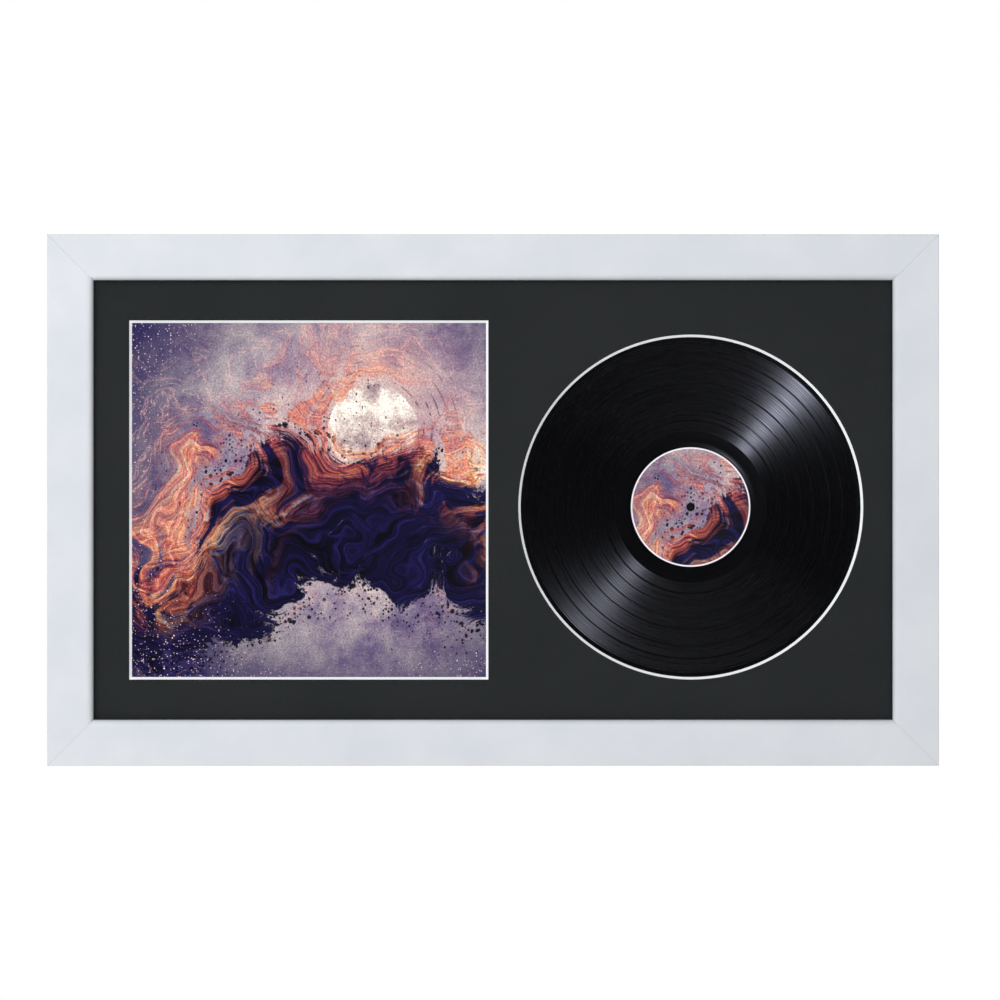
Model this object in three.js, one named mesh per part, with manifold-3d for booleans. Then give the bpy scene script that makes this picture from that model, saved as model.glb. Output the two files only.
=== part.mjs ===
// Wall frame that shows a 12-inch record and its sleeve side by side behind one mount board.
// Millimetres, +Z up. The frame faces -Y and the wall is the plane y = 0, behind the bumpers.
import * as THREE from 'three';
import { mergeVertices } from 'three/addons/utils/BufferGeometryUtils.js';
import Module from 'manifold-3d';

const wasm = await Module();
wasm.setup();

// Contents: a 12-inch disc and the card sleeve that it came in
const recordDiameter = 301.6;
const sleeveSize = 315;
const sleeveThickness = 3;
const sleeveWall = 0.6;
const sleeveSpine = 1;

// Mount board: how far it covers the contents, and the borders that it leaves inside the moulding
const mountThickness = 2;
const sleeveOverlap = 7;
const discOverlap = 6.3;
const leftMargin = 30;
const middleMargin = 25.5;
const rightMargin = 24.5;
const topMargin = 34;
const bottomMargin = 34;

// Moulding
const railFace = 38.5;
const rebateWidth = 7;
const sightRound = 4.5;
const lipWall = 1.8;
const arris = 1;
const backArris = 0.6;
const mitreGap = 0.3;

// Sheets behind the lip, front to back
const glazingThickness = 2;
const fillerThickness = 2.5;
const backingThickness = 3;
const layerGap = 0.2;
const edgeClearance = 1;
const contentClearance = 0.8;
const contentGap = 0.3;

// Record, each height measured from the middle plane of the disc
const spindleHole = 7.24;
const labelDiameter = 101.6;
const labelThickness = 0.15;
const labelBorder = 1.5;
const labelLandHeight = 1.35;
const landSlope = 1.5;
const runOutHeight = 0.95;
const runOutWidth = 10.7;
const grooveDepth = 0.07;
const trackGapWidth = 1.4;
const leadIn = 1.1;
const rimBead = 4.2;
const rimHeight = 1.2;
const rimRound = 0.8;
const rimBlend = 0.7;
const trackGapShares = [0.11, 0.236, 0.364, 0.662, 0.798];

// Corner V-nails, driven from the back
const nailLeg = 7;
const nailThickness = 0.6;
const nailHeight = 10;
const nailSetBack = 0.3;
const nailInsetShares = [0.3, 0.67];

// Turn buttons that hold the backing board
const buttonThickness = 1.2;
const buttonHeadRadius = 7;
const buttonTipRadius = 4.6;
const buttonGrip = 6.4;
const buttonInsetShare = 0.6;
const runningGap = 0.3;
const longRailButtonShares = [-0.31, 0, 0.31];
const shortRailButtonShares = [0];

// Pan-head wood screws
const screwDiameter = 3;
const screwHeadDiameter = 6.4;
const screwHeadHeight = 1.7;
const screwTip = 2.4;
const buttonScrewLength = 12;
const hangerScrewLength = 10;
const fitClearance = 0.3;

// Strap hangers with D-rings
const ringWire = 2.2;
const ringCorner = 3;
const ringSideGap = 0.1;
const ringThroat = 6;
const strapWidth = 12;
const strapLeaf = 0.9;
const strapCorner = 3;
const strapEdgeMargin = 4;
const eyeSetIn = 1.5;
const strapScrewShares = [0.285, 0.8];
const hangerHeightShare = 1 / 6;

// Bumpers at the lower corners
const bumperDiameter = 12;
const bumperThickness = 5;
const bumperCrown = 1.2;
const bumperFromSide = 48;

// Facets
const openingFacets = 120;
const recessFacets = 72;
const recordFacets = 64;
const labelFacets = 48;
const wireFacets = 8;
const arcFacets = 6;
const roundFacets = 12;

// How far every cutter runs on past the face that it cuts through
const overrun = 2;

// Record sizes that follow
const recordRadius = recordDiameter / 2;
const labelLandRadius = labelDiameter / 2 + labelBorder;
const grooveStart = labelLandRadius + landSlope + runOutWidth;
const grooveEnd = recordRadius - rimBead - leadIn;
const grooveHeight = runOutHeight - grooveDepth;

// Outline sizes that follow: the contents and the borders set the frame's own size
const bevelWidth = mountThickness;
const sleeveWindow = sleeveSize - 2 * sleeveOverlap;
const discWindow = recordDiameter - 2 * discOverlap;
const sleeveOpening = sleeveWindow + 2 * bevelWidth;
const discOpening = discWindow + 2 * bevelWidth;
const sightWidth = leftMargin + sleeveOpening + middleMargin + discOpening + rightMargin;
const sightHeight = bottomMargin + Math.max(sleeveOpening, discOpening) + topMargin;
const frameWidth = sightWidth + 2 * railFace;
const frameHeight = sightHeight + 2 * railFace;
const sheetOverlap = rebateWidth - edgeClearance;
const sheetWidth = sightWidth + 2 * sheetOverlap;
const sheetHeight = sightHeight + 2 * sheetOverlap;
const sleeveX = -sightWidth / 2 + leftMargin + sleeveOpening / 2;
const sleeveZ = -sightHeight / 2 + bottomMargin + sleeveOpening / 2;
const discX = sightWidth / 2 - rightMargin - discOpening / 2;
const discZ = -sightHeight / 2 + bottomMargin + discOpening / 2;

// Places of the sheets along Y, from the moulding's back face forward
const contentsThickness = Math.max(sleeveThickness, 2 * (labelLandHeight + labelThickness), 2 * rimHeight);
const carrierThickness = contentsThickness + 2 * contentGap - 2 * layerGap;
const lipDepth = sightRound + lipWall;
const railBack = -bumperThickness;
const backingFront = railBack - backingThickness;
const fillerBack = backingFront - layerGap;
const fillerFront = fillerBack - fillerThickness;
const carrierBack = fillerFront - layerGap;
const carrierFront = carrierBack - carrierThickness;
const mountBack = carrierFront - layerGap;
const mountFront = mountBack - mountThickness;
const glazingBack = mountFront - layerGap;
const glazingFront = glazingBack - glazingThickness;
const lipBack = glazingFront - layerGap;
const railFront = lipBack - lipDepth;
const railDepth = railBack - railFront;
const contentsY = (carrierBack + carrierFront) / 2;

// Places across the moulding's back, from its outer edge to the rebate
const rebateWall = railFace - rebateWidth;
const nailInsets = nailInsetShares.map((share) => rebateWall * share);
const buttonInset = rebateWall * buttonInsetShare;
const buttonReach = rebateWall - buttonInset + edgeClearance + buttonGrip;
const bumperInset = rebateWall / 2;

const finishes = {
  moulding: { color: '#e3e6ea', roughness: 0.45, metalness: 0 },
  glazing: { color: '#f4f8f8', roughness: 0.05, metalness: 0, transparent: true, opacity: 0.12 },
  mount: { color: '#2a2b2d', roughness: 0.85, metalness: 0 },
  carrier: { color: '#3a3b3d', roughness: 0.9, metalness: 0 },
  sleeve: { color: '#3b2c63', roughness: 0.4, metalness: 0 },
  record: { color: '#0b0b0d', roughness: 0.22, metalness: 0 },
  label: { color: '#7d5f86', roughness: 0.6, metalness: 0 },
  filler: { color: '#b99a6e', roughness: 0.9, metalness: 0 },
  backing: { color: '#9a7650', roughness: 0.85, metalness: 0 },
  zinc: { color: '#c3c6c8', roughness: 0.35, metalness: 1 },
  nail: { color: '#8d9093', roughness: 0.4, metalness: 1 },
  rubber: { color: '#3a3a3a', roughness: 0.8, metalness: 0 },
};

const frame = new THREE.Group();

function addMesh(name, geometry, finish, parent = frame) {
  const mesh = new THREE.Mesh(geometry, new THREE.MeshStandardMaterial(finishes[finish]));
  mesh.name = name;
  parent.add(mesh);
  return mesh;
}

// Joins a geometry's shared corners so that it can be cut as one closed solid.
function solidOf(geometry) {
  const bare = geometry.clone();
  bare.deleteAttribute('normal');
  bare.deleteAttribute('uv');
  const merged = mergeVertices(bare);
  const vertProperties = new Float32Array(merged.attributes.position.array);
  const triVerts = new Uint32Array(merged.index.array);
  return new wasm.Manifold(new wasm.Mesh({ numProp: 3, vertProperties, triVerts }));
}

function geometryOf(solid) {
  const { vertProperties, triVerts } = solid.getMesh();
  const geometry = new THREE.BufferGeometry();
  geometry.setAttribute('position', new THREE.BufferAttribute(vertProperties, 3));
  geometry.setIndex(new THREE.BufferAttribute(triVerts, 1));
  return geometry;
}

function carve(geometry, cutters) {
  return geometryOf(cutters.reduce((body, cutter) => body.subtract(solidOf(cutter)), solidOf(geometry)));
}

// A plate of the given outline in the XZ plane, its front at y = 0 and its back at y = thickness.
function plateOf(shape, thickness) {
  const options = { depth: thickness, bevelEnabled: false, curveSegments: arcFacets };
  return new THREE.ExtrudeGeometry(shape, options).rotateX(Math.PI / 2).translate(0, thickness, 0);
}

function sheet(name, front, thickness, finish) {
  const mesh = addMesh(name, new THREE.BoxGeometry(sheetWidth, thickness, sheetHeight), finish);
  mesh.position.y = front + thickness / 2;
  return mesh;
}

// Moulding section: across is the distance in from the outer edge, height the distance up from the back.
function mouldingSection() {
  const lipHeight = railDepth - lipDepth;
  const section = new THREE.Shape();
  section.moveTo(backArris, 0);
  section.lineTo(rebateWall, 0);
  section.lineTo(rebateWall, lipHeight);
  section.lineTo(railFace, lipHeight);
  section.absarc(railFace - sightRound, railDepth - sightRound, sightRound, 0, Math.PI / 2, false);
  section.absarc(arris, railDepth - arris, arris, Math.PI / 2, Math.PI, false);
  section.lineTo(0, backArris);
  section.closePath();
  return section;
}

// Extrudes the section and slides each end onto its mitre plane, so that a point that lies
// further in from the outer edge also lies further from the corner.
function mitredRail(length) {
  const options = { depth: length, bevelEnabled: false, curveSegments: arcFacets };
  const geometry = new THREE.ExtrudeGeometry(mouldingSection(), options);
  const corners = geometry.attributes.position;
  const pullBack = mitreGap * Math.SQRT1_2;
  for (let i = 0; i < corners.count; i += 1) {
    const along = corners.getX(i) + pullBack;
    corners.setZ(i, corners.getZ(i) > length / 2 ? length / 2 - along : along - length / 2);
  }
  const across = new THREE.Vector3(0, 0, 1);
  const towardsFront = new THREE.Vector3(0, -1, 0);
  const alongRail = new THREE.Vector3(1, 0, 0);
  return geometry.applyMatrix4(new THREE.Matrix4().makeBasis(across, towardsFront, alongRail));
}

// V-nail outline with its bend on the mitre line and one leg in each rail
function nailOutline(spare) {
  const near = -nailThickness / 2 - spare;
  const far = nailThickness / 2 + spare;
  const end = nailLeg + spare;
  const outline = new THREE.Shape();
  outline.moveTo(near, near);
  outline.lineTo(end, near);
  outline.lineTo(end, far);
  outline.lineTo(far, far);
  outline.lineTo(far, end);
  outline.lineTo(near, end);
  outline.closePath();
  return outline;
}

// Slots for the V-nails of both ends of a rail, which runs along X with its outer edge at z = 0
function nailSlots(length) {
  const slotDepth = nailHeight + nailSetBack + fitClearance;
  const cutters = [];
  for (const inset of nailInsets) {
    const slot = plateOf(nailOutline(fitClearance), slotDepth + overrun).translate(0, -slotDepth, 0);
    const mirrored = slot.clone().rotateY(-Math.PI / 2);
    cutters.push(slot.translate(inset - length / 2, 0, inset));
    cutters.push(mirrored.translate(length / 2 - inset, 0, inset));
  }
  return cutters;
}

function pilotHole(along, inset, screwLength) {
  const depth = screwLength + fitClearance;
  const radius = screwDiameter / 2 + fitClearance;
  const hole = new THREE.CylinderGeometry(radius, radius, depth + overrun, roundFacets);
  return hole.translate(along, (overrun - depth) / 2, inset);
}

// Where the D-ring's bar lies in from the outer edge, and the strap's screws from that bar
const eyeInset = rebateWall - eyeSetIn;
const eyeRadius = ringWire / 2 + fitClearance + strapLeaf;
const strapLength = eyeInset - strapEdgeMargin;
const strapScrews = strapScrewShares.map((share) => strapLength * share);
const strapThickness = 2 * strapLeaf;
const ringHalfWidth = strapWidth / 2 + ringSideGap + ringCorner;
const hangerZ = frameHeight * hangerHeightShare;

// Screws go into a rail below their heads: a button's through the button, a hanger's through the strap
const buttonScrewDepth = buttonScrewLength - buttonThickness - 2 * runningGap;
const hangerScrewDepth = hangerScrewLength - strapThickness;

// Each side is built lying along X with its outer edge at z = 0, then turned about Y into its place.
// hanger is the place of its strap hanger along the side.
const longSide = { length: frameWidth, buttonShares: longRailButtonShares };
const shortSide = { length: frameHeight, buttonShares: shortRailButtonShares };
const sides = [
  { ...longSide, name: 'bottom', turn: 0, x: 0, z: -frameHeight / 2 },
  { ...shortSide, name: 'right', turn: -Math.PI / 2, x: frameWidth / 2, z: 0, hanger: hangerZ },
  { ...longSide, name: 'top', turn: Math.PI, x: 0, z: frameHeight / 2 },
  { ...shortSide, name: 'left', turn: Math.PI / 2, x: -frameWidth / 2, z: 0, hanger: -hangerZ },
];

function turnButton() {
  const lean = Math.acos((buttonHeadRadius - buttonTipRadius) / buttonReach);
  const outline = new THREE.Shape();
  outline.absarc(0, 0, buttonHeadRadius, Math.PI / 2 + lean, Math.PI / 2 - lean, false);
  outline.absarc(0, buttonReach, buttonTipRadius, Math.PI / 2 - lean, Math.PI / 2 + lean, false);
  const hole = new THREE.Path();
  hole.absarc(0, 0, screwDiameter / 2 + fitClearance, 0, 2 * Math.PI, true);
  outline.holes.push(hole);
  return plateOf(outline, buttonThickness);
}

// Pan-head screw along Y with the underside of its head at y = 0
function panHeadScrew(length) {
  const headRadius = screwHeadDiameter / 2;
  const shank = screwDiameter / 2;
  const rimShare = 0.45;
  const shoulderShare = 0.72;
  const profile = [
    new THREE.Vector2(0, -length),
    new THREE.Vector2(shank, screwTip - length),
    new THREE.Vector2(shank, 0),
    new THREE.Vector2(headRadius, 0),
    new THREE.Vector2(headRadius, screwHeadHeight * rimShare),
    new THREE.Vector2(headRadius * shoulderShare, screwHeadHeight),
    new THREE.Vector2(0, screwHeadHeight),
  ];
  return new THREE.LatheGeometry(profile, roundFacets);
}

function buildSide(side) {
  const group = new THREE.Group();
  group.position.set(side.x, railBack, side.z);
  group.rotation.y = side.turn;
  frame.add(group);
  const cutters = nailSlots(side.length);
  side.buttonShares.forEach((share, i) => {
    const along = side.length * share;
    cutters.push(pilotHole(along, buttonInset, buttonScrewDepth));
    const suffix = side.buttonShares.length > 1 ? `${side.name}_${i + 1}` : side.name;
    const button = addMesh(`turn_button_${suffix}`, turnButton(), 'zinc', group);
    button.position.set(along, runningGap, buttonInset);
    const screw = addMesh(`button_screw_${suffix}`, panHeadScrew(buttonScrewLength), 'zinc', group);
    screw.position.set(along, buttonThickness + 2 * runningGap, buttonInset);
  });
  if (side.hanger !== undefined) {
    for (const fromEye of strapScrews) {
      cutters.push(pilotHole(side.hanger, eyeInset - fromEye, hangerScrewDepth));
    }
    addHanger(side, group);
  }
  addMesh(`rail_${side.name}`, carve(mitredRail(side.length), cutters), 'moulding', group);
}

// Strap folded round the bar of its ring: two leaves pressed together and an eye at the end
function strap() {
  const rise = Math.asin((strapThickness - eyeRadius) / eyeRadius);
  const section = new THREE.Shape();
  section.moveTo(-strapLength, 0);
  section.absarc(0, eyeRadius, eyeRadius, -Math.PI / 2, Math.PI - rise, false);
  section.lineTo(-strapLength, strapThickness);
  section.closePath();
  const bore = new THREE.Path();
  bore.absarc(0, eyeRadius, ringWire / 2 + fitClearance, 0, 2 * Math.PI, true);
  section.holes.push(bore);
  const options = { depth: strapWidth, bevelEnabled: false, curveSegments: arcFacets };
  const bladeDepth = 2 * eyeRadius + 2 * overrun;
  const folded = new THREE.ExtrudeGeometry(section, options).translate(0, 0, -strapWidth / 2);
  const outline = new THREE.Shape();
  outline.moveTo(eyeRadius + overrun, -strapWidth / 2);
  outline.lineTo(eyeRadius + overrun, strapWidth / 2);
  const cornerX = strapCorner - strapLength;
  const cornerZ = strapWidth / 2 - strapCorner;
  outline.absarc(cornerX, cornerZ, strapCorner, Math.PI / 2, Math.PI, false);
  outline.absarc(cornerX, -cornerZ, strapCorner, Math.PI, 1.5 * Math.PI, false);
  outline.closePath();
  const blank = plateOf(outline, bladeDepth).translate(0, -overrun, 0);
  const rounded = geometryOf(solidOf(folded).intersect(solidOf(blank)));
  const holeRadius = screwDiameter / 2 + fitClearance;
  const holes = strapScrews.map((fromEye) => {
    const hole = new THREE.CylinderGeometry(holeRadius, holeRadius, bladeDepth, roundFacets);
    return hole.translate(-fromEye, eyeRadius, 0);
  });
  return carve(rounded, holes);
}

// Closed tube that follows a flat closed path in the XZ plane
function closedTube(path, radius) {
  const points = path.getPoints(wireFacets / 2);
  points.pop();
  const positions = [];
  const triangles = [];
  points.forEach((point, i) => {
    const before = points[(i + points.length - 1) % points.length];
    const after = points[(i + 1) % points.length];
    const outward = after.clone().sub(before).normalize();
    for (let j = 0; j < wireFacets; j += 1) {
      const angle = (j / wireFacets) * 2 * Math.PI;
      const side = radius * Math.cos(angle);
      positions.push(point.x + outward.y * side, radius * Math.sin(angle), point.y - outward.x * side);
      const nextRing = ((i + 1) % points.length) * wireFacets;
      const nextSide = (j + 1) % wireFacets;
      const [a, b] = [i * wireFacets + j, i * wireFacets + nextSide];
      const [c, d] = [nextRing + j, nextRing + nextSide];
      triangles.push(a, b, c, b, d, c);
    }
  });
  const geometry = new THREE.BufferGeometry();
  geometry.setAttribute('position', new THREE.Float32BufferAttribute(positions, 3));
  geometry.setIndex(triangles);
  return geometry;
}

// D-ring with its straight bar on the Z axis and its round side towards +X
function dRing() {
  const path = new THREE.Path();
  const corner = ringHalfWidth - ringCorner;
  path.moveTo(0, -corner);
  path.lineTo(0, corner);
  path.absarc(ringCorner, corner, ringCorner, Math.PI, Math.PI / 2, true);
  path.absarc(ringThroat, 0, ringHalfWidth, Math.PI / 2, 0, true);
  path.absarc(ringThroat, 0, ringHalfWidth, 0, -Math.PI / 2, true);
  path.absarc(ringCorner, -corner, ringCorner, -Math.PI / 2, -Math.PI, true);
  return closedTube(path, ringWire / 2);
}

// The side's group has its outer edge at z = 0, so the strap is turned to point in from it.
function addHanger(side, group) {
  const hanger = new THREE.Group();
  hanger.position.set(side.hanger, 0, eyeInset);
  hanger.rotation.y = -Math.PI / 2;
  group.add(hanger);
  addMesh(`hanger_strap_${side.name}`, strap(), 'zinc', hanger);
  addMesh(`d_ring_${side.name}`, dRing(), 'zinc', hanger).position.y = eyeRadius;
  strapScrews.forEach((fromEye, i) => {
    const name = `hanger_screw_${side.name}_${i + 1}`;
    const screw = addMesh(name, panHeadScrew(hangerScrewLength), 'zinc', hanger);
    screw.position.set(-fromEye, strapThickness, 0);
  });
}

sides.forEach(buildSide);

// V-nails: two at each corner, set a little below the moulding's back face
const corners = [
  { name: 'bottom_left', turn: 0, x: -frameWidth / 2, z: -frameHeight / 2 },
  { name: 'bottom_right', turn: -Math.PI / 2, x: frameWidth / 2, z: -frameHeight / 2 },
  { name: 'top_right', turn: Math.PI, x: frameWidth / 2, z: frameHeight / 2 },
  { name: 'top_left', turn: Math.PI / 2, x: -frameWidth / 2, z: frameHeight / 2 },
];
for (const corner of corners) {
  const group = new THREE.Group();
  group.position.set(corner.x, railBack - nailSetBack - nailHeight, corner.z);
  group.rotation.y = corner.turn;
  frame.add(group);
  nailInsets.forEach((inset, i) => {
    const name = `v_nail_${corner.name}_${i + 1}`;
    const nail = addMesh(name, plateOf(nailOutline(0), nailHeight), 'nail', group);
    nail.position.set(inset, 0, inset);
  });
}

// Cutter whose sides run on past both faces of the mount board at the angle of the bevel
function bevelCutter(windowHalf, segments) {
  const spread = segments === 4 ? Math.SQRT2 : 1;
  const back = (windowHalf - overrun) * spread;
  const front = (windowHalf + bevelWidth + overrun) * spread;
  const cutter = new THREE.CylinderGeometry(back, front, mountThickness + 2 * overrun, segments);
  return segments === 4 ? cutter.rotateY(Math.PI / 4) : cutter;
}

sheet('glazing', glazingFront, glazingThickness, 'glazing');

const mount = sheet('mount_board', mountFront, mountThickness, 'mount');
mount.geometry = carve(mount.geometry, [
  bevelCutter(sleeveWindow / 2, 4).translate(sleeveX, 0, sleeveZ),
  bevelCutter(discWindow / 2, openingFacets).translate(discX, 0, discZ),
]);

// Carrier board: one recess for the sleeve and one for the disc
const sleeveRecess = sleeveSize + 2 * contentClearance;
const discRecessRadius = recordRadius + contentClearance;
const recessDepth = carrierThickness + 2 * overrun;
const carrier = sheet('carrier_board', carrierFront, carrierThickness, 'carrier');
carrier.geometry = carve(carrier.geometry, [
  new THREE.BoxGeometry(sleeveRecess, recessDepth, sleeveRecess).translate(sleeveX, 0, sleeveZ),
  new THREE.CylinderGeometry(discRecessRadius, discRecessRadius, recessDepth, recessFacets)
    .translate(discX, 0, discZ),
]);

sheet('filler_board', fillerFront, fillerThickness, 'filler');
sheet('backing_board', backingFront, backingThickness, 'backing');

// Sleeve: a flat card pocket, folded at its spine on the left and open at the right
const pocketLength = sleeveSize - sleeveSpine + overrun;
const pocketDepth = sleeveThickness - 2 * sleeveWall;
const pocket = new THREE.BoxGeometry(pocketLength, pocketDepth, sleeveSize - 2 * sleeveWall)
  .translate((sleeveSpine + overrun) / 2, 0, 0);
const sleeveCard = carve(new THREE.BoxGeometry(sleeveSize, sleeveThickness, sleeveSize), [pocket]);
addMesh('album_sleeve', sleeveCard, 'sleeve').position.set(sleeveX, contentsY, sleeveZ);

// One face of the disc from the spindle hole out to the rim, as radius and height
function discFace() {
  const face = [
    [spindleHole / 2, labelLandHeight],
    [labelLandRadius, labelLandHeight],
    [labelLandRadius + landSlope, runOutHeight],
    [grooveStart, runOutHeight],
    [grooveStart + grooveDepth, grooveHeight],
  ];
  for (const share of trackGapShares) {
    const middle = grooveStart + (grooveEnd - grooveStart) * share;
    face.push([middle - trackGapWidth / 2, grooveHeight]);
    face.push([middle, runOutHeight]);
    face.push([middle + trackGapWidth / 2, grooveHeight]);
  }
  face.push([grooveEnd, grooveHeight]);
  face.push([grooveEnd + rimBlend, runOutHeight]);
  face.push([recordRadius - rimBead + rimRound, rimHeight]);
  face.push([recordRadius - rimRound, rimHeight]);
  face.push([recordRadius, rimHeight - rimRound]);
  return face;
}

const upperFace = discFace();
const lowerFace = discFace().map(([radius, height]) => [radius, -height]);
const discProfile = [...lowerFace, ...upperFace.reverse(), lowerFace[0]];
const discOutline = discProfile.map(([radius, height]) => new THREE.Vector2(radius, height));
addMesh('record', new THREE.LatheGeometry(discOutline, recordFacets), 'record')
  .position.set(discX, contentsY, discZ);

function paperLabel() {
  const outline = [
    new THREE.Vector2(spindleHole / 2, 0),
    new THREE.Vector2(labelDiameter / 2, 0),
    new THREE.Vector2(labelDiameter / 2, labelThickness),
    new THREE.Vector2(spindleHole / 2, labelThickness),
    new THREE.Vector2(spindleHole / 2, 0),
  ];
  return new THREE.LatheGeometry(outline, labelFacets);
}
addMesh('label_back', paperLabel(), 'label').position.set(discX, contentsY + labelLandHeight, discZ);
addMesh('label_front', paperLabel(), 'label')
  .position.set(discX, contentsY - labelLandHeight - labelThickness, discZ);

function bumper() {
  const radius = bumperDiameter / 2;
  const profile = [
    new THREE.Vector2(0, 0),
    new THREE.Vector2(radius, 0),
    new THREE.Vector2(radius, bumperThickness - bumperCrown),
    new THREE.Vector2(radius - bumperCrown, bumperThickness),
    new THREE.Vector2(0, bumperThickness),
  ];
  return new THREE.LatheGeometry(profile, roundFacets);
}
const bumperX = frameWidth / 2 - bumperFromSide;
const bumperZ = bumperInset - frameHeight / 2;
addMesh('bumper_left', bumper(), 'rubber').position.set(-bumperX, railBack, bumperZ);
addMesh('bumper_right', bumper(), 'rubber').position.set(bumperX, railBack, bumperZ);

export default frame;
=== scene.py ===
# %% [markdown]
# # A framed record
#
# A wide white moulding holds a dark mount board with two windows. The square one shows a record
# sleeve and the round one shows the disc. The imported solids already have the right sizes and
# places, so this lesson only dresses them. Pieces whose form needs more than flat faces are
# built again around the same boxes, and the plain sheets keep their solids and get a finish.

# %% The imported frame
import math
from functools import partial

import bmesh
import bpy
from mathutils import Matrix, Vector


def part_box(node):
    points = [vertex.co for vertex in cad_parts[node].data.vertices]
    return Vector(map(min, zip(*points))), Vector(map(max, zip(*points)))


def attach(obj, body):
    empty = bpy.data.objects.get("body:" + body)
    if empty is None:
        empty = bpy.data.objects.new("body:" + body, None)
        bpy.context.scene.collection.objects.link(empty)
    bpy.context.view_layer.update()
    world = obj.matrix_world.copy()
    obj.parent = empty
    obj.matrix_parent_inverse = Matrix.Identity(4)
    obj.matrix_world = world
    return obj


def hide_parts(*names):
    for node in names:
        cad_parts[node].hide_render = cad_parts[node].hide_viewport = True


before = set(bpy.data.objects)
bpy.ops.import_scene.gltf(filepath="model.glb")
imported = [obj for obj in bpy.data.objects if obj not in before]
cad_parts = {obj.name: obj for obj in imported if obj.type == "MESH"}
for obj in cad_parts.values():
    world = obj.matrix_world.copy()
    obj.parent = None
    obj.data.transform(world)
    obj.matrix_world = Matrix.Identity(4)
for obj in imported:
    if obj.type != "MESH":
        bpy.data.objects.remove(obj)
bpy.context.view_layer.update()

MM = 0.001
FRAME_BODY = "frame_body"
print("nodes in the frame:", len(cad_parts))

# %% [markdown]
# ## Reading sizes
#
# Every size that a solid already has is read from its box, so nothing is measured twice. The
# four rails together give the outline of the frame, and one rail gives the width of its face.

# %% Outline of the frame
def middle_of(low, high):
    """The (x, z) middle of a box, as it is seen from the front."""
    return ((low.x + high.x) / 2, (low.z + high.z) / 2)


def nodes_called(start):
    return sorted(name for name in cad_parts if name.startswith(start))


rail_boxes = [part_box(f"rail_{side}") for side in ("top", "bottom", "left", "right")]
rail_low = Vector(min(box[0][axis] for box in rail_boxes) for axis in range(3))
rail_high = Vector(max(box[1][axis] for box in rail_boxes) for axis in range(3))
frame_size = rail_high - rail_low
rail_front, rail_back = rail_low.y, rail_high.y
face_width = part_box("rail_left")[1].x - rail_low.x
print("frame, mm:", [round(size / MM, 1) for size in frame_size])
print("face width, mm:", round(face_width / MM, 1))

# %% [markdown]
# ## Camera
#
# The photograph looks straight at the frame from a few steps away: no outer side of the moulding
# shows. A long lens keeps it that way. Its distance follows from how many pixels a metre of the
# frame's face takes up, and the camera stands a little to the right because the frame is a
# little left of the picture's middle.

# %% Camera in front of the frame
def new_object(name, data):
    thing = bpy.data.objects.new(name, data)
    bpy.context.scene.collection.objects.link(thing)
    return thing


PICTURE_WIDTH = 1000
PIXELS_PER_METRE = 1181.5
FRAME_MIDDLE = 493
LENS = 100
SENSOR_WIDTH = 36
lens_data = bpy.data.cameras.new("camera")
lens_data.lens = LENS
lens_data.sensor_width = SENSOR_WIDTH
to_right = (PICTURE_WIDTH / 2 - FRAME_MIDDLE) / PIXELS_PER_METRE
camera_distance = LENS / SENSOR_WIDTH * PICTURE_WIDTH / PIXELS_PER_METRE
camera = new_object("camera", lens_data)
camera.location = (to_right, rail_front - camera_distance, 0)
camera.rotation_euler = (math.pi / 2, 0, 0)
bpy.context.scene.camera = camera
print("camera distance, m:", round(camera_distance, 3))

# %% [markdown]
# ## Helpers
#
# Colours are written as sRGB hex, the way that a paint chart or an image editor gives them.
# Shaders calculate in linear light, so one function turns them. Another adds a node to any tree,
# sets it and links it, which keeps the recipes below short. Most finishes start from a cloudy
# noise that picks a shade, so that pair has a helper too.

# %% Colours and nodes
def linear(hex_colour):
    values = (int(hex_colour[i : i + 2], 16) / 255 for i in (1, 3, 5))
    turned = [v / 12.92 if v <= 0.04045 else ((v + 0.055) / 1.055) ** 2.4 for v in values]
    return (*turned, 1)


def set_sockets(node, sockets):
    """Sockets are named, or listed in the order in which the node shows them. Each one takes a
    value, a node or one output of a node."""
    for name, value in sockets.items() if isinstance(sockets, dict) else enumerate(sockets):
        shown = [port for port in node.inputs if port.enabled]
        port = shown[name] if isinstance(name, int) else next(p for p in shown if p.name == name)
        if isinstance(value, bpy.types.Node):
            value = next(output for output in value.outputs if output.enabled)
        if isinstance(value, bpy.types.NodeSocket):
            node.id_data.links.new(value, port)
        else:
            port.default_value = value


def add_node(tree, kind, sockets=(), stops=(), **settings):
    """Nodes go by their short names, and those that calculate have their operation behind it.
    Stops are the places and colours of a ramp."""
    kind, _, operation = kind.partition(" ")
    families = ("Shader",) if tree.type == "SHADER" else ("Geometry", "Function", "Shader")
    names = [f"{family}Node{kind}" for family in families]
    node = tree.nodes.new(next(name for name in names if hasattr(bpy.types, name)))
    if operation:
        node.operation = operation
    for name, value in settings.items():
        setattr(node, name, value)
    set_sockets(node, sockets)
    if stops:
        ramp = node.color_ramp.elements
        while len(ramp) < len(stops):
            ramp.new(1)
        for stop, (position, colour) in zip(ramp, stops):
            stop.position = position
            stop.color = linear(colour)
    return node


# %% Finishes
def new_finish(name, **settings):
    """A material with one Principled shader and its settings. Returns it, a function that adds
    nodes to it, its shader, and the place of a point on the object."""
    finish = bpy.data.materials.new(name)
    finish.use_nodes = True
    tree = finish.node_tree
    shader = tree.nodes["Principled BSDF"]
    set_sockets(shader, {socket.replace("_", " "): value for socket, value in settings.items()})
    print("finish:", name)
    return finish, partial(add_node, tree), shader, add_node(tree, "TexCoord").outputs["Object"]


def per_metre(millimetres):
    """Texture scale that gives a pattern one feature in so many millimetres."""
    return 1 / (millimetres * MM)


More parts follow.
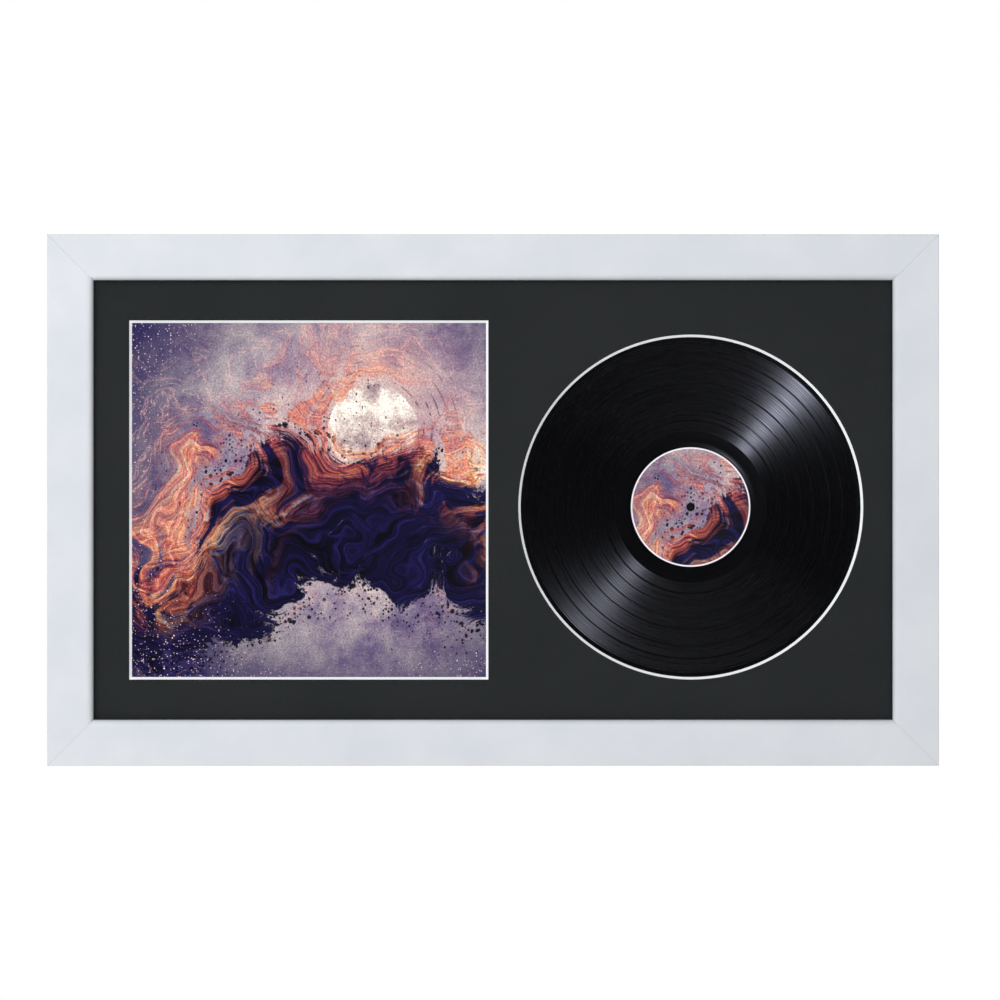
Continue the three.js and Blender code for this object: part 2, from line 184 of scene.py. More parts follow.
def mottled(add, place, millimetres, detail, stops, roughness=0.5):
    """A noise with features of that size, and the shades that it picks."""
    scale = per_metre(millimetres)
    sockets = {"Vector": place, "Scale": scale, "Detail": detail, "Roughness": roughness}
    noise = add("TexNoise", sockets)
    return noise, add("ValToRGB", [noise], stops)


def dress(add, shader, colour, height, strength, millimetres, **linked):
    """Gives a shader its colour, a relief of so many millimetres, and what else varies."""
    distance = millimetres * MM
    relief = add("Bump", {"Height": height, "Strength": strength, "Distance": distance})
    set_sockets(shader, {"Base Color": colour, "Normal": relief, **linked})
    return relief


def fibrous(name, fibres, clouds, strength, millimetres, **settings):
    """A board of short fibres in a few shades, with broader clouds over them."""
    finish, add, shader, place = new_finish(name, **settings)
    pulp, shade = mottled(add, place, *fibres)
    _, cloudy = mottled(add, place, *clouds)
    blend = add("Mix", [1.0, shade, cloudy], data_type="RGBA", blend_type="MULTIPLY")
    relief = dress(add, shader, blend, pulp, strength, millimetres)
    return finish, add, shader, place, relief


# %% [markdown]
# ## Meshes as pieces
#
# A finished piece sits at the origin with its place in its mesh, rides on a body of the frame
# and hides the solids that it stands for. Turned parts, such as a disc or a screw, come from one
# function that spins a profile about the axis that points at the viewer, and it also wraps a UV
# map round them, so that a finish can follow the turning.

# %% Pieces and modifiers
# A face as large as this is a flat side, so its shading doesn't lean over towards its rounds.
FLAT_FACE = 1000 * MM * MM


def add_piece(name, mesh, body, replaced, crease=30):
    """Edges that turn by more than the crease, in degrees, stay sharp."""
    piece = new_object(name, mesh)
    mesh.shade_smooth()
    mesh.set_sharp_from_angle(angle=math.radians(crease))
    for face in mesh.polygons:
        face.use_smooth = face.area < FLAT_FACE
    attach(piece, body)
    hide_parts(*replaced)
    mesh.calc_loop_triangles()
    print(f"{name}: {len(mesh.loop_triangles)} triangles")


def soften(thing, name, width, segments, angle):
    """Rounds the edges that turn by more than an angle in degrees."""
    edge = thing.modifiers.new(name, "BEVEL")
    edge.width = width
    edge.segments = segments
    edge.limit_method = "ANGLE"
    edge.angle_limit = math.radians(angle)


def cut_away(thing, name, cutter):
    cut = thing.modifiers.new(name, "BOOLEAN")
    cut.operation = "DIFFERENCE"
    cut.solver = "EXACT"
    cut.object = cutter
    return cut


def settle(carrier):
    """The mesh of an object as its modifiers leave it. The object itself goes."""
    bpy.context.view_layer.update()
    graph = bpy.context.evaluated_depsgraph_get()
    mesh = bpy.data.meshes.new_from_object(
        carrier.evaluated_get(graph), preserve_all_data_layers=True, depsgraph=graph
    )
    carrier.modifiers.clear()
    bpy.data.objects.remove(carrier)
    return mesh


# %% Closed meshes
def new_mesh(name, points, edges=(), faces=()):
    mesh = bpy.data.meshes.new(name)
    mesh.from_pydata(points, edges, faces)
    return mesh


# Points that are closer than this are one point.
TOUCHING = 1e-6
# The corners of a square, as signs.
SQUARE = ((-1, -1), (1, -1), (1, 1), (-1, 1))


def mesh_of(work, name):
    """Ends a bmesh as a mesh whose faces point outwards."""
    bmesh.ops.recalc_face_normals(work, faces=work.faces)
    mesh = bpy.data.meshes.new(name)
    work.to_mesh(mesh)
    work.free()
    return mesh


def face_outwards(mesh, close_ends=False):
    """Merges doubles, closes open ends if asked to, and turns every face outwards."""
    work = bmesh.new()
    work.from_mesh(mesh)
    bmesh.ops.remove_doubles(work, verts=work.verts, dist=TOUCHING)
    if close_ends:
        open_edges = [edge for edge in work.edges if edge.is_boundary]
        bmesh.ops.holes_fill(work, edges=open_edges, sides=0)
    bmesh.ops.recalc_face_normals(work, faces=work.faces)
    work.to_mesh(mesh)
    work.free()
    return mesh


def plate(front_loops, back_loops, front, back, finishes):
    """A sheet between two planes. Each loop of (x, z) points has a partner on the other face, and
    loops after the first are windows, whose walls take the last finish."""
    work = bmesh.new()
    for loops, y in ((front_loops, front), (back_loops, back)):
        edges = []
        for loop in loops:
            corners = [work.verts.new((x, y, z)) for x, z in loop]
            for i, corner in enumerate(corners):
                edges.append(work.edges.new((corner, corners[i - 1])))
        bmesh.ops.triangle_fill(work, edges=edges, use_beauty=True)
    work.verts.ensure_lookup_table()
    half = len(work.verts) // 2
    start = 0
    for number, loop in enumerate(front_loops):
        count = len(loop)
        for i in range(count):
            j = (i + 1) % count
            corners = (start + i, start + j, half + start + j, half + start + i)
            wall = work.faces.new([work.verts[k] for k in corners])
            wall.material_index = len(finishes) - 1 if number else 0
        start += count
    mesh = mesh_of(work, "plate")
    for finish in finishes:
        mesh.materials.append(finish)
    return mesh


# %% Turning
# A turned part that has no hole starts this far from its axis, and its tiny end is closed.
AXIS = 1e-5


def ring_points(middle, radius, count, start=0, turn=2 * math.pi):
    """Points on a circle or an arc. A full circle doesn't repeat its first point."""
    steps = count if turn == 2 * math.pi else count - 1
    angles = [start + turn * i / steps for i in range(count)]
    return [(middle[0] + radius * math.cos(a), middle[1] + radius * math.sin(a)) for a in angles]


def turned(profile, segments, middle, finish):
    """Spins (radius, y) points about the line through middle = (x, z) that points at the viewer."""
    vertices, faces, wrap = [], [], []
    for radius, y in profile:
        vertices += [(x, y, z) for x, z in ring_points(middle, radius, segments)]
    for k in range(len(profile) - 1):
        low, high = k / len(profile), (k + 1) / len(profile)
        for i in range(segments):
            j = (i + 1) % segments
            a, b = k * segments, (k + 1) * segments
            faces.append((a + i, a + j, b + j, b + i))
            left, right = i / segments, (i + 1) / segments
            wrap += [left, low, right, low, right, high, left, high]
    mesh = new_mesh("turned", vertices, faces=faces)
    mesh.uv_layers.new(name="UVMap").data.foreach_set("uv", wrap)
    mesh.materials.append(finish)
    return mesh


# %% [markdown]
# ## Geometry Nodes
#
# What repeats or follows a path is grown by Geometry Nodes: the moulding's section drawn along
# each rail, the record's grooves, the wire of the rings and the screws. A tree gets named inputs,
# works on a small starting mesh and ends in plain geometry with its finish.

# %% Trees that grow a mesh
def new_tree(name, **inputs):
    """Its inputs are listed by kind. Returns the tree, a function that adds nodes to it, and what
    its inputs give."""
    tree = bpy.data.node_groups.new(name, "GeometryNodeTree")
    tree.interface.new_socket("Geometry", in_out="OUTPUT", socket_type="NodeSocketGeometry")
    for kind, labels in {"Geometry": ["Geometry"], **inputs}.items():
        for label in labels:
            tree.interface.new_socket(label, in_out="INPUT", socket_type=f"NodeSocket{kind}")
    return tree, partial(add_node, tree), tree.nodes.new("NodeGroupInput").outputs


def end_tree(tree, geometry, finish):
    """Closes a tree with Realize Instances and Set Material."""
    plain = add_node(tree, "RealizeInstances", [geometry])
    painted = add_node(tree, "SetMaterial", {"Geometry": plain, "Material": finish})
    set_sockets(tree.nodes.new("NodeGroupOutput"), {"Geometry": painted})
    print(f"tree {tree.name}: {len(tree.nodes)} nodes")
    return painted


def grow(tree, start, values):
    """Runs a tree on a starting mesh with its inputs set by identifier, and keeps the result."""
    carrier = new_object("carrier", start)
    growth = carrier.modifiers.new("growth", "NODES")
    growth.node_group = tree
    for item in tree.interface.items_tree:
        if item.in_out == "INPUT" and item.name in values:
            growth[item.identifier] = values[item.name]
    return settle(carrier)


# %% [markdown]
# ## Studio
#
# The photograph has a plain white ground and soft light that is a little stronger and bluer on
# the left. A pale floor lies well below the frame, as under a frame that hangs on a wall. The
# soft boxes that light the card and the moulding are kept out of reflections, and a small lamp
# that only reflects draws the bright streaks on the grooved disc. That is what a photographer does
# with flags, and it lets the black stay black.

# %% World and floor
bpy.context.scene.view_settings.view_transform = "Standard"
world = bpy.data.worlds.new("studio")
world.use_nodes = True
bpy.context.scene.world = world
sky = world.node_tree
rays = add_node(sky, "LightPath").outputs
ground_white = sky.nodes["Background"]
set_sockets(ground_white, {"Color": linear("#ffffff")})
soft_room = add_node(sky, "Background", [linear("#f9fafd"), 0.5])
dark_room = add_node(sky, "Background", [linear("#f2f5fa"), 0.05])
room = add_node(sky, "MixShader", [rays["Is Glossy Ray"], soft_room, dark_room])
seen_or_not = add_node(sky, "MixShader", [rays["Is Camera Ray"], room, ground_white])
set_sockets(sky.nodes["World Output"], {"Surface": seen_or_not})

FLOOR_BELOW = 1.15
FLOOR_HALF = 2.1
floor_corners = [(x * FLOOR_HALF, y * FLOOR_HALF, -FLOOR_BELOW) for x, y in SQUARE]
floor_mesh = new_mesh("floor", floor_corners, faces=[(0, 1, 2, 3)])
# Matt emulsion, rolled on: an even pale grey, with no gloss to mirror the frame.
floor_paint, add, shader, _ = new_finish("painted_floor", Roughness=0.9)
cloud = add("TexNoise", {"Scale": 3.0, "Detail": 4.0})
tint = add("ValToRGB", [cloud], [(0.35, "#e9e9e8"), (0.65, "#efefee")])
set_sockets(shader, {"Base Color": tint})
floor_mesh.materials.append(floor_paint)
floor = new_object("floor", floor_mesh)


# %% Lights
def soft_box(name, place, aim, width, height, power, colour, reflects=True, lights=True):
    """A rectangular lamp, in metres and watts, that shines from its place at its aim."""
    data = bpy.data.lights.new(name, "AREA")
    data.shape = "RECTANGLE"
    data.size, data.size_y = width, height
    data.energy = power
    data.color = linear(colour)[:3]
    lamp = new_object(name, data)
    lamp.location = place
    lamp.rotation_euler = (Vector(aim) - Vector(place)).to_track_quat("-Z", "Y").to_euler()
    lamp.visible_glossy = reflects
    lamp.visible_diffuse = lights
    lamp.visible_camera = False
    # The small glass share of the clear sheet would show a lamp as stray sparks.
    lamp.visible_transmission = False
    print(f"{name}: {power} W")


soft_box("key", (-1.0, -2.2, 0.75), (-0.1, 0, 0), 1.6, 1.6, 44, "#f7f9ff", reflects=False)
soft_box("streak", (0.7, -1.35, 0.456), (0.168, 0, 0), 0.07, 0.07, 9, "#e3e6ff", lights=False)
soft_box("back_key", (1.3, 1.8, 1.2), (0, 0, 0), 1.4, 1.4, 38, "#ffffff")
soft_box("back_fill", (-1.5, 1.9, 0.3), (0, 0, 0), 1.8, 1.8, 14, "#f7f9ff")
soft_box("back_strip", (0.1, 2.2, 1.6), (0, 0, 0), 1.8, 0.25, 10, "#ffffff")

# %% [markdown]
# ## Moulding finish
#
# Frames of this kind are fibreboard wrapped in a satin white foil. The foil gives an even, soft
# white with almost no grain: only a slight unevenness in its gloss and the finest orange peel
# where the board shows through. Behind, and on the mitred ends, the bare fibreboard shows as a
# warm tan full of fine, short fibres.

# %% Foil and bare fibreboard
foil, add, shader, place = new_finish("satin_foil", IOR=1.5)
cloud, white = mottled(add, place, 45, 3.0, [(0.3, "#d4d7d9"), (0.7, "#dbddde")])
peel = add("TexNoise", {"Vector": place, "Scale": per_metre(1.6), "Detail": 2.0})
gloss = add("MapRange", [cloud, 0.3, 0.7, 0.54, 0.66])
dress(add, shader, white, peel, 0.1, 0.02, Roughness=gloss)

# Fibres are 0.1 to 0.3 mm wide. They are drawn 0.6 mm wide so that a few show in the render.
tans = [(0.3, "#86673f"), (0.45, "#ac8a60"), (0.6, "#bd9e74"), (0.75, "#cfb48c")]
patches = [(0.35, "#f2ebe2"), (0.65, "#ffffff")]
fibreboard, *_ = fibrous(
    "bare_fibreboard", (0.6, 5.0, tans, 0.7), (9, 4.0, patches), 0.35, 0.08, Roughness=0.88
)

# %% [markdown]
# ## Moulding
#
# A rail is one section drawn along a line, with both ends cut at 45 degrees. Three corners of the
# section are rounded: the outer edge slightly, the back edge hardly, and the sight edge in a wide
# quarter round. Geometry Nodes round the corners, fill the section, stretch it to a bar and slide
# each slice outwards or inwards, so that a point further in from the outer edge also lies further
# from the corner. That is the mitre, with no cutting.

# %% Section of the moulding
SIGHT_ROUND = 4.5 * MM
LIP_WALL = 1.8 * MM
ARRIS = 1.0 * MM
BACK_ARRIS = 0.6 * MM
SHEET_CLEARANCE = 1.0 * MM
_, glass_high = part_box("glazing")
rail_depth = rail_back - rail_front
lip_height = rail_depth - SIGHT_ROUND - LIP_WALL
rebate_wall = rail_high.x - glass_high.x - SHEET_CLEARANCE
# Each round has a straight point beside it, so that its smooth shading stops there and the flat
# faces stay flat in the light.
SUPPORT = 0.3 * MM
section_corners = [
    (0, 0, BACK_ARRIS),
    (BACK_ARRIS + SUPPORT, 0, 0),
    (rebate_wall, 0, 0),
    (rebate_wall, lip_height, 0),
    (face_width, lip_height, 0),
    (face_width, rail_depth, SIGHT_ROUND),
    (face_width - SIGHT_ROUND - SUPPORT, rail_depth, 0),
    (ARRIS + SUPPORT, rail_depth, 0),
    (0, rail_depth, ARRIS),
    (0, rail_depth - ARRIS - SUPPORT, 0),
    (0, BACK_ARRIS + SUPPORT, 0),
]
print("lip height, mm:", round(lip_height / MM, 1))


def closed_wire(name, points):
    """A mesh of edges that runs through the points and back to the first."""
    count = len(points)
    return new_mesh(name, points, edges=[(i, (i + 1) % count) for i in range(count)])


def section_wire():
    mesh = closed_wire("section", [(across, up, 0) for across, up, _ in section_corners])
    rounds = mesh.attributes.new("corner_round", "FLOAT", "POINT")
    rounds.data.foreach_set("value", [corner[2] for corner in section_corners])
    return mesh


# %% Bar with its bare faces
moulding, add, given = new_tree(
    "mitred moulding",
    Float=["Length", "Joint", "Lip height", "Turn"],
    Int=["Round steps"],
    Vector=["Place"],
    Material=["Wrap", "Core"],
)
wire = add("MeshToCurve", {"Mesh": given["Geometry"]})
corner_round = add("InputNamedAttribute", {"Name": "corner_round"}, data_type="FLOAT")
rounded = add(
    "FilletCurve",
    {"Curve": wire, "Count": given["Round steps"], "Radius": corner_round},
    mode="POLY",
)
filled = add("FillCurve", {"Curve": rounded}, mode="NGONS")
bar = add("ExtrudeMesh", {"Mesh": filled, "Offset": (0, 0, 1), "Individual": False}, mode="FACES")
other_end = add("FlipFaces", {"Mesh": filled})
both = add("JoinGeometry")
for part in (bar, other_end):
    set_sockets(both, [part])
closed = add("MergeByDistance", {"Geometry": both, "Distance": TOUCHING})

# Bare board shows on the back, in the rebate and on the mitred ends. A face looks along an axis
# when its normal reaches this share of it.
LOOKS_ALONG = 0.9
facing = add("SeparateXYZ", [add("InputNormal")]).outputs
spot = add("SeparateXYZ", [add("InputPosition")]).outputs
to_back = add("Math LESS_THAN", [facing["Y"], -LOOKS_ALONG])
end_share = add("Math ABSOLUTE", [facing["Z"]])
to_end = add("Math GREATER_THAN", [end_share, LOOKS_ALONG])
inward = add("Math GREATER_THAN", [facing["X"], LOOKS_ALONG])
below_lip = add("Math LESS_THAN", [spot["Y"], given["Lip height"]])
in_rebate = add("Math MULTIPLY", [inward, below_lip])
end_or_rebate = add("Math ADD", [to_end, in_rebate])
bare = add("Math ADD", [to_back, end_or_rebate])
marked = add(
    "StoreNamedAttribute",
    {"Geometry": closed, "Name": "bare", "Value": bare},
    data_type="FLOAT",
    domain="FACE",
)
print("nodes that draw the bar:", len(moulding.nodes))

# %% Mitres and finishes
# A slice's length shrinks by twice its distance from the outer edge.
twice = add("Math MULTIPLY_ADD", [spot["X"], -2.0, given["Length"]])
slice_length = add("Math SUBTRACT", [twice, given["Joint"]])
from_middle = add("Math SUBTRACT", [spot["Z"], 0.5])
along = add("Math MULTIPLY", [from_middle, slice_length])
forward = add("Math MULTIPLY", [spot["Y"], -1.0])
slid = add("CombineXYZ", [along, forward, spot["X"]])
mitred = add("SetPosition", {"Geometry": marked, "Position": slid})
turn = add("CombineXYZ", {"Y": given["Turn"]})
placed = add("Transform", {"Geometry": mitred, "Translation": given["Place"], "Rotation": turn})
wrapped = end_tree(moulding, placed, given["Wrap"])
bare_mark = add("InputNamedAttribute", {"Name": "bare"}, data_type="FLOAT")
bare_faces = add("Math GREATER_THAN", [bare_mark, 0.5])
cored = add(
    "SetMaterial", {"Geometry": wrapped, "Selection": bare_faces, "Material": given["Core"]}
)
set_sockets(moulding.nodes["Group Output"], {"Geometry": cored})

# %% [markdown]
# ## Rails and their nail slots
#
# The corners are glued and pinned from behind with steel V-nails that lie a hair below the
# surface. Each rail gets a softened edge first, because a foil-wrapped bar never ends in a razor
# edge and the softening is what makes the mitre readable. Then the nails' own outlines, drawn out
# past the back, are cut away.

# %% Nail slots
nail_nodes = nodes_called("v_nail")
nail_low, nail_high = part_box(nail_nodes[0])
nail_middle = (nail_low.y + nail_high.y) / 2
slots = bmesh.new()
for name in nail_nodes:
    slots.from_mesh(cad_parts[name].data)
bmesh.ops.remove_doubles(slots, verts=slots.verts, dist=TOUCHING)
for corner in slots.verts:
    if corner.co.y > nail_middle:
        corner.co.y = rail_back + MM
slot_mesh = bpy.data.meshes.new("nail_slots")
slots.to_mesh(slot_mesh)
slots.free()
slot_cutter = new_object("carrier", slot_mesh)
print("nail slots:", len(nail_nodes))

# %% Rails
JOINT_WIDTH = 0.05 * MM
ROUND_STEPS = 16
RAIL_SOFTENING = 0.12 * MM
rails = {
    "bottom": (0, (0, rail_back, rail_low.z), frame_size.x),
    "right": (-math.pi / 2, (rail_high.x, rail_back, 0), frame_size.z),
    "top": (math.pi, (0, rail_back, rail_high.z), frame_size.x),
    "left": (math.pi / 2, (rail_low.x, rail_back, 0), frame_size.z),
}
for side, (turn, place, length) in rails.items():
    sizes = {
        "Length": length,
        "Joint": JOINT_WIDTH * math.sqrt(2),
        "Lip height": lip_height,
        "Round steps": ROUND_STEPS,
        "Place": place,
        "Turn": turn,
        "Wrap": foil,
        "Core": fibreboard,
    }
    carrier = new_object("carrier", grow(moulding, section_wire(), sizes))
    soften(carrier, "softening", RAIL_SOFTENING, 2, 40)
    cut_away(carrier, "nail_slots", slot_cutter)
    add_piece(
        f"moulding_{side}", settle(carrier), FRAME_BODY, [f"rail_{side}"], crease=25
    )
bpy.data.objects.remove(slot_cutter)

# %% [markdown]
# ## Glazing
#
# Such frames have a clear sheet of float or styrene. It is flat, polished and nearly unseen from
# the front. A real refracting shader would stop the studio light from reaching the card behind
# it, so the sheet is mostly transparent and only a small share of it is glass.

# %% Clear sheet
def finish_sheet(name, finish, softening=0.0):
    """Gives a solid of the frame its finish, and softens its edges where that shows."""
    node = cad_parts[name]
    for held in node.material_slots:
        held.material = finish
    if softening:
        node.modifiers.new("joined", "WELD").merge_threshold = TOUCHING
        soften(node, "softened", softening, 2, 50)
    print(f"{name} is finished in {finish.name}")


clear, add, shader, place = new_finish("clear_sheet", IOR=1.5, Transmission_Weight=1.0, Alpha=0.03)
smear, green = mottled(add, place, 60, 3.0, [(0.3, "#eef6f3"), (0.7, "#f6faf9")])
gloss = add("MapRange", [smear, 0.35, 0.7, 0.02, 0.07])
set_sockets(shader, {"Roughness": gloss, "Base Color": green})
finish_sheet("glazing", clear)

# %% [markdown]
# ## Mount board
#
# Mount board is a thick paper core with a coloured face. A cutter held at 45 degrees opens the
# windows, so each window has a bevel as wide as the board is thick, and there the white core
# shows as a thin, bright line. That line is most of what a framer's work looks like from a step
# away, so it is real geometry here: the window on the face is larger than the one behind it.

# %% Board face and core
# Dyed paper, rolled smooth: a soft black-grey that drinks the light. Paper fibres are about
# 0.05 mm wide. They are drawn 0.9 mm wide, as fine as the render can show.
charcoals = [(0.3, "#232524"), (0.7, "#2e302f")]
fading = [(0.3, "#eceef0"), (0.7, "#ffffff")]
card_face, *_ = fibrous(
    "charcoal_board_face",
    (0.9, 4.0, charcoals, 0.65),
    (120, 3.0, fading),
    0.25,
    0.05,
    Roughness=0.9,
    Specular_IOR_Level=0.2,
)

# Bleached pulp, sliced by the cutter: a matt, almost pure white.
card_core, add, shader, place = new_finish("white_board_core", Roughness=0.85)
pulp, cream = mottled(add, place, 0.7, 4.0, [(0.3, "#fafaf8"), (0.7, "#fffffe")])
dress(add, shader, cream, pulp, 0.2, 0.04)

# %% Board with its two windows
SLEEVE_OVERLAP = 7.0 * MM
DISC_OVERLAP = 6.3 * MM
WINDOW_STEPS = 256
board_low, board_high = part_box("mount_board")
bevel = board_high.y - board_low.y
sleeve_low, sleeve_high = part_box("album_sleeve")
disc_low, disc_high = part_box("record")
sleeve_middle = middle_of(sleeve_low, sleeve_high)
disc_middle = middle_of(disc_low, disc_high)
disc_radius = (disc_high.x - disc_low.x) / 2
sleeve_window = (sleeve_high.x - sleeve_low.x) / 2 - SLEEVE_OVERLAP
disc_window = disc_radius - DISC_OVERLAP


def rectangle(middle, half_width, half_height):
    return [(middle[0] + half_width * x, middle[1] + half_height * z) for x, z in SQUARE]


board_edge = rectangle((0, 0), board_high.x, board_high.z)
windows = {
    growth: [
        board_edge,
        rectangle(sleeve_middle, sleeve_window + growth, sleeve_window + growth),
        ring_points(disc_middle, disc_window + growth, WINDOW_STEPS),
    ]
    for growth in (bevel, 0)
}
board_mesh = plate(windows[bevel], windows[0], board_low.y, board_high.y, [card_face, card_core])
add_piece("bevelled_board", board_mesh, FRAME_BODY, ["mount_board"])
print("square window, mm:", round(2 * sleeve_window / MM, 1))
print("round window, mm:", round(2 * disc_window / MM, 1))

# %% [markdown]
# ## Vinyl
#
# A record is pressed from black PVC. Its grooves are far too fine to see, about ten to the
# millimetre, but together they act like brushed metal: they scatter light widely across the
# grooves and hardly at all along them. So a lamp shows as a bright fan that runs from the label
# to the rim. The shader of the grooves is rough across them only, and its tangent comes from the
# UV map that is wound round the disc. The smooth bands between the tracks, and near the label,
# get a second finish with no such direction. They stay dark because they mirror the dark room.

# %% Grooved vinyl
def from_spindle(add, place):
    """How far a place is from the disc's axis, seen from the front."""
    centred = add("VectorMath ADD", [place, (-disc_middle[0], 0, -disc_middle[1])])
    flat = add("VectorMath MULTIPLY", [centred, (1, 0, 1)])
    return add("VectorMath LENGTH", [flat])


def pressed_vinyl(name, smooth, rough, **settings):
    """Black PVC, between smooth and rough from one turn to the next, with a breath of dust."""
    finish, add, shader, place = new_finish(name, IOR=1.52, **settings)
    # Loud and quiet turns scatter a little more or less, so the edge of the fan is streaked.
    loudness = add(
        "TexNoise",
        {"W": from_spindle(add, place), "Scale": per_metre(2.2), "Detail": 3.0, "Roughness": 0.7},
        noise_dimensions="1D",
    )
    gloss = add("MapRange", [loudness, 0.25, 0.75, smooth, rough])
    _, black = mottled(add, place, 3, 4.0, [(0.3, "#020203"), (0.75, "#070709")], roughness=0.7)
    set_sockets(shader, {"Base Color": black, "Roughness": gloss})
    return finish, add, shader


grooved_vinyl, add, shader = pressed_vinyl(
    "grooved_vinyl", 0.22, 0.36, Anisotropic=1.0, Anisotropic_Rotation=0.25
)
around = add("Tangent", direction_type="UV_MAP", uv_map="UVMap")
set_sockets(shader, {"Tangent": around})
smooth_vinyl, *_ = pressed_vinyl("smooth_vinyl", 0.14, 0.18)

# %% [markdown]
# ## Disc
#
# The disc is turned like any round part, except for the band of grooves. The band is a plain
# grid that Geometry Nodes wrap round the spindle: one side of the grid becomes the angle and the
# other the radius, and a zigzag of the radius gives each ring its slopes. Near a track gap the
# zigzag fades out, and a gentle noise makes some turns deeper than others.

# %% Turned part of the disc
label_low, label_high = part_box("label_front")
label_radius = (label_high.x - label_low.x) / 2
GROOVE_START = 64.5 * MM
GROOVE_END = 141.0 * MM
DISC_STEPS = 192
HOLE_RADIUS = 3.62 * MM
HOLE_CHAMFER = 0.15 * MM
LAND_MARGIN = 1.5 * MM
LABEL_LAND = 1.35 * MM
RUN_OUT = 0.95 * MM
RIM_HEIGHT = 1.2 * MM
RIM_START = 147.9 * MM
RIM_END = 149.6 * MM
EDGE_ROUND = 0.8 * MM
disc_plane = (disc_low.y + disc_high.y) / 2


def disc_side(sign):
    """Inner and outer profile of one face, as radius and y, on either side of the groove band."""
    land_edge = label_radius + LAND_MARGIN
    edge_middle = (disc_radius - EDGE_ROUND, 0.4 * MM)
    inner = [
        (HOLE_RADIUS, LABEL_LAND - HOLE_CHAMFER),
        (HOLE_RADIUS + HOLE_CHAMFER, LABEL_LAND),
        (land_edge - 0.3 * MM, LABEL_LAND),
        (land_edge, LABEL_LAND - 0.05 * MM),
        (land_edge + 3.0 * MM, RUN_OUT + 0.02 * MM),
        (land_edge + 3.6 * MM, RUN_OUT),
        (GROOVE_START, RUN_OUT),
    ]
    outer = [
        (GROOVE_END, RUN_OUT),
        (GROOVE_END + 0.8 * MM, RUN_OUT),
        (RIM_START - 1.0 * MM, RIM_HEIGHT - 0.15 * MM),
        (RIM_START, RIM_HEIGHT),
        (RIM_END, RIM_HEIGHT),
        *ring_points(edge_middle, EDGE_ROUND, 7, math.radians(75), math.radians(-75)),
    ]
    return [[(radius, disc_plane - sign * up) for radius, up in part] for part in (inner, outer)]


front_inner, front_outer = disc_side(1)
back_inner, back_outer = disc_side(-1)
disc_profile = front_outer + back_outer[::-1] + back_inner[::-1] + front_inner
disc_rest = turned(disc_profile, DISC_STEPS, disc_middle, smooth_vinyl)
print("disc radius, mm:", round(disc_radius / MM, 1))

# %% Tree of the groove band
grooves, add, given = new_tree(
    "groove band",
    Float=["Inner radius", "Outer radius", "Pitch", "Depth", "Gap"],
    Int=["Steps", "Rings"],
    Vector=["Centre"],
    Object=["Track gaps"],
    Material=["Vinyl"],
)
grid = add(
    "MeshGrid",
    {"Size X": 1.0, "Size Y": 1.0, "Vertices X": given["Steps"], "Vertices Y": given["Rings"]},
)
wound = add(
    "StoreNamedAttribute",
    {"Geometry": grid, "Name": "UVMap", "Value": grid.outputs["UV Map"]},
    data_type="FLOAT2",
    domain="CORNER",
)
spot = add("SeparateXYZ", [add("InputPosition")]).outputs
angle = add("MapRange", [spot["X"], -0.5, 0.5, 0.0, 2 * math.pi])
ring_radius = add("MapRange", [spot["Y"], -0.5, 0.5, given["Inner radius"], given["Outer radius"]])
into_band = add("Math SUBTRACT", [ring_radius, given["Inner radius"]])
turns = add("Math DIVIDE", [into_band, given["Pitch"]])
zigzag = add("Math PINGPONG", [turns, 0.5])
gap_marks = add("ObjectInfo", {"Object": given["Track gaps"]}, transform_space="ORIGINAL")
nearest = add(
    "Proximity",
    {
        "Geometry": gap_marks.outputs["Geometry"],
        "Sample Position": add("CombineXYZ", {"X": ring_radius}),
    },
    target_element="POINTS",
)
fading = add(
    "MapRange",
    [nearest.outputs["Distance"], 0.0, given["Gap"], 0.0, 1.0],
    interpolation_type="SMOOTHSTEP",
)
loud = add("TexNoise", {"W": turns, "Scale": 0.9, "Detail": 2.0}, noise_dimensions="1D")
# The zigzag reaches a half and the noise is about a half, so the depth is taken four times.
faded = add("Math MULTIPLY", [zigzag, fading])
full_depth = add("Math MULTIPLY", [given["Depth"], 4.0])
loud_depth = add("Math MULTIPLY", [loud, full_depth])
drop = add("Math MULTIPLY", [faded, loud_depth])
across, upward = (
    add("Math MULTIPLY", [ring_radius, add("Math", [angle], operation=turn)])
    for turn in ("COSINE", "SINE")
)
from_centre = add("CombineXYZ", [across, drop, upward])
round_centre = add("VectorMath ADD", [from_centre, given["Centre"]])
wrapped_round = add("SetPosition", {"Geometry": wound, "Position": round_centre})
whole = add("JoinGeometry")
for part in (wrapped_round, given["Geometry"]):
    set_sockets(whole, [part])
joined = add("MergeByDistance", {"Geometry": whole, "Distance": 2 * TOUCHING})
end_tree(grooves, joined, given["Vinyl"])

# %% Disc with its groove band
TRACK_GAPS = [73.4 * MM, 83.6 * MM, 94.0 * MM, 104.0 * MM, 118.1 * MM, 129.1 * MM]
TRACK_GAP_WIDTH = 1.25 * MM
# Within this share of the width from a gap's middle, the vinyl is smooth.
SMOOTH_SHARE = 0.42
GROOVE_DEPTH = 0.06 * MM
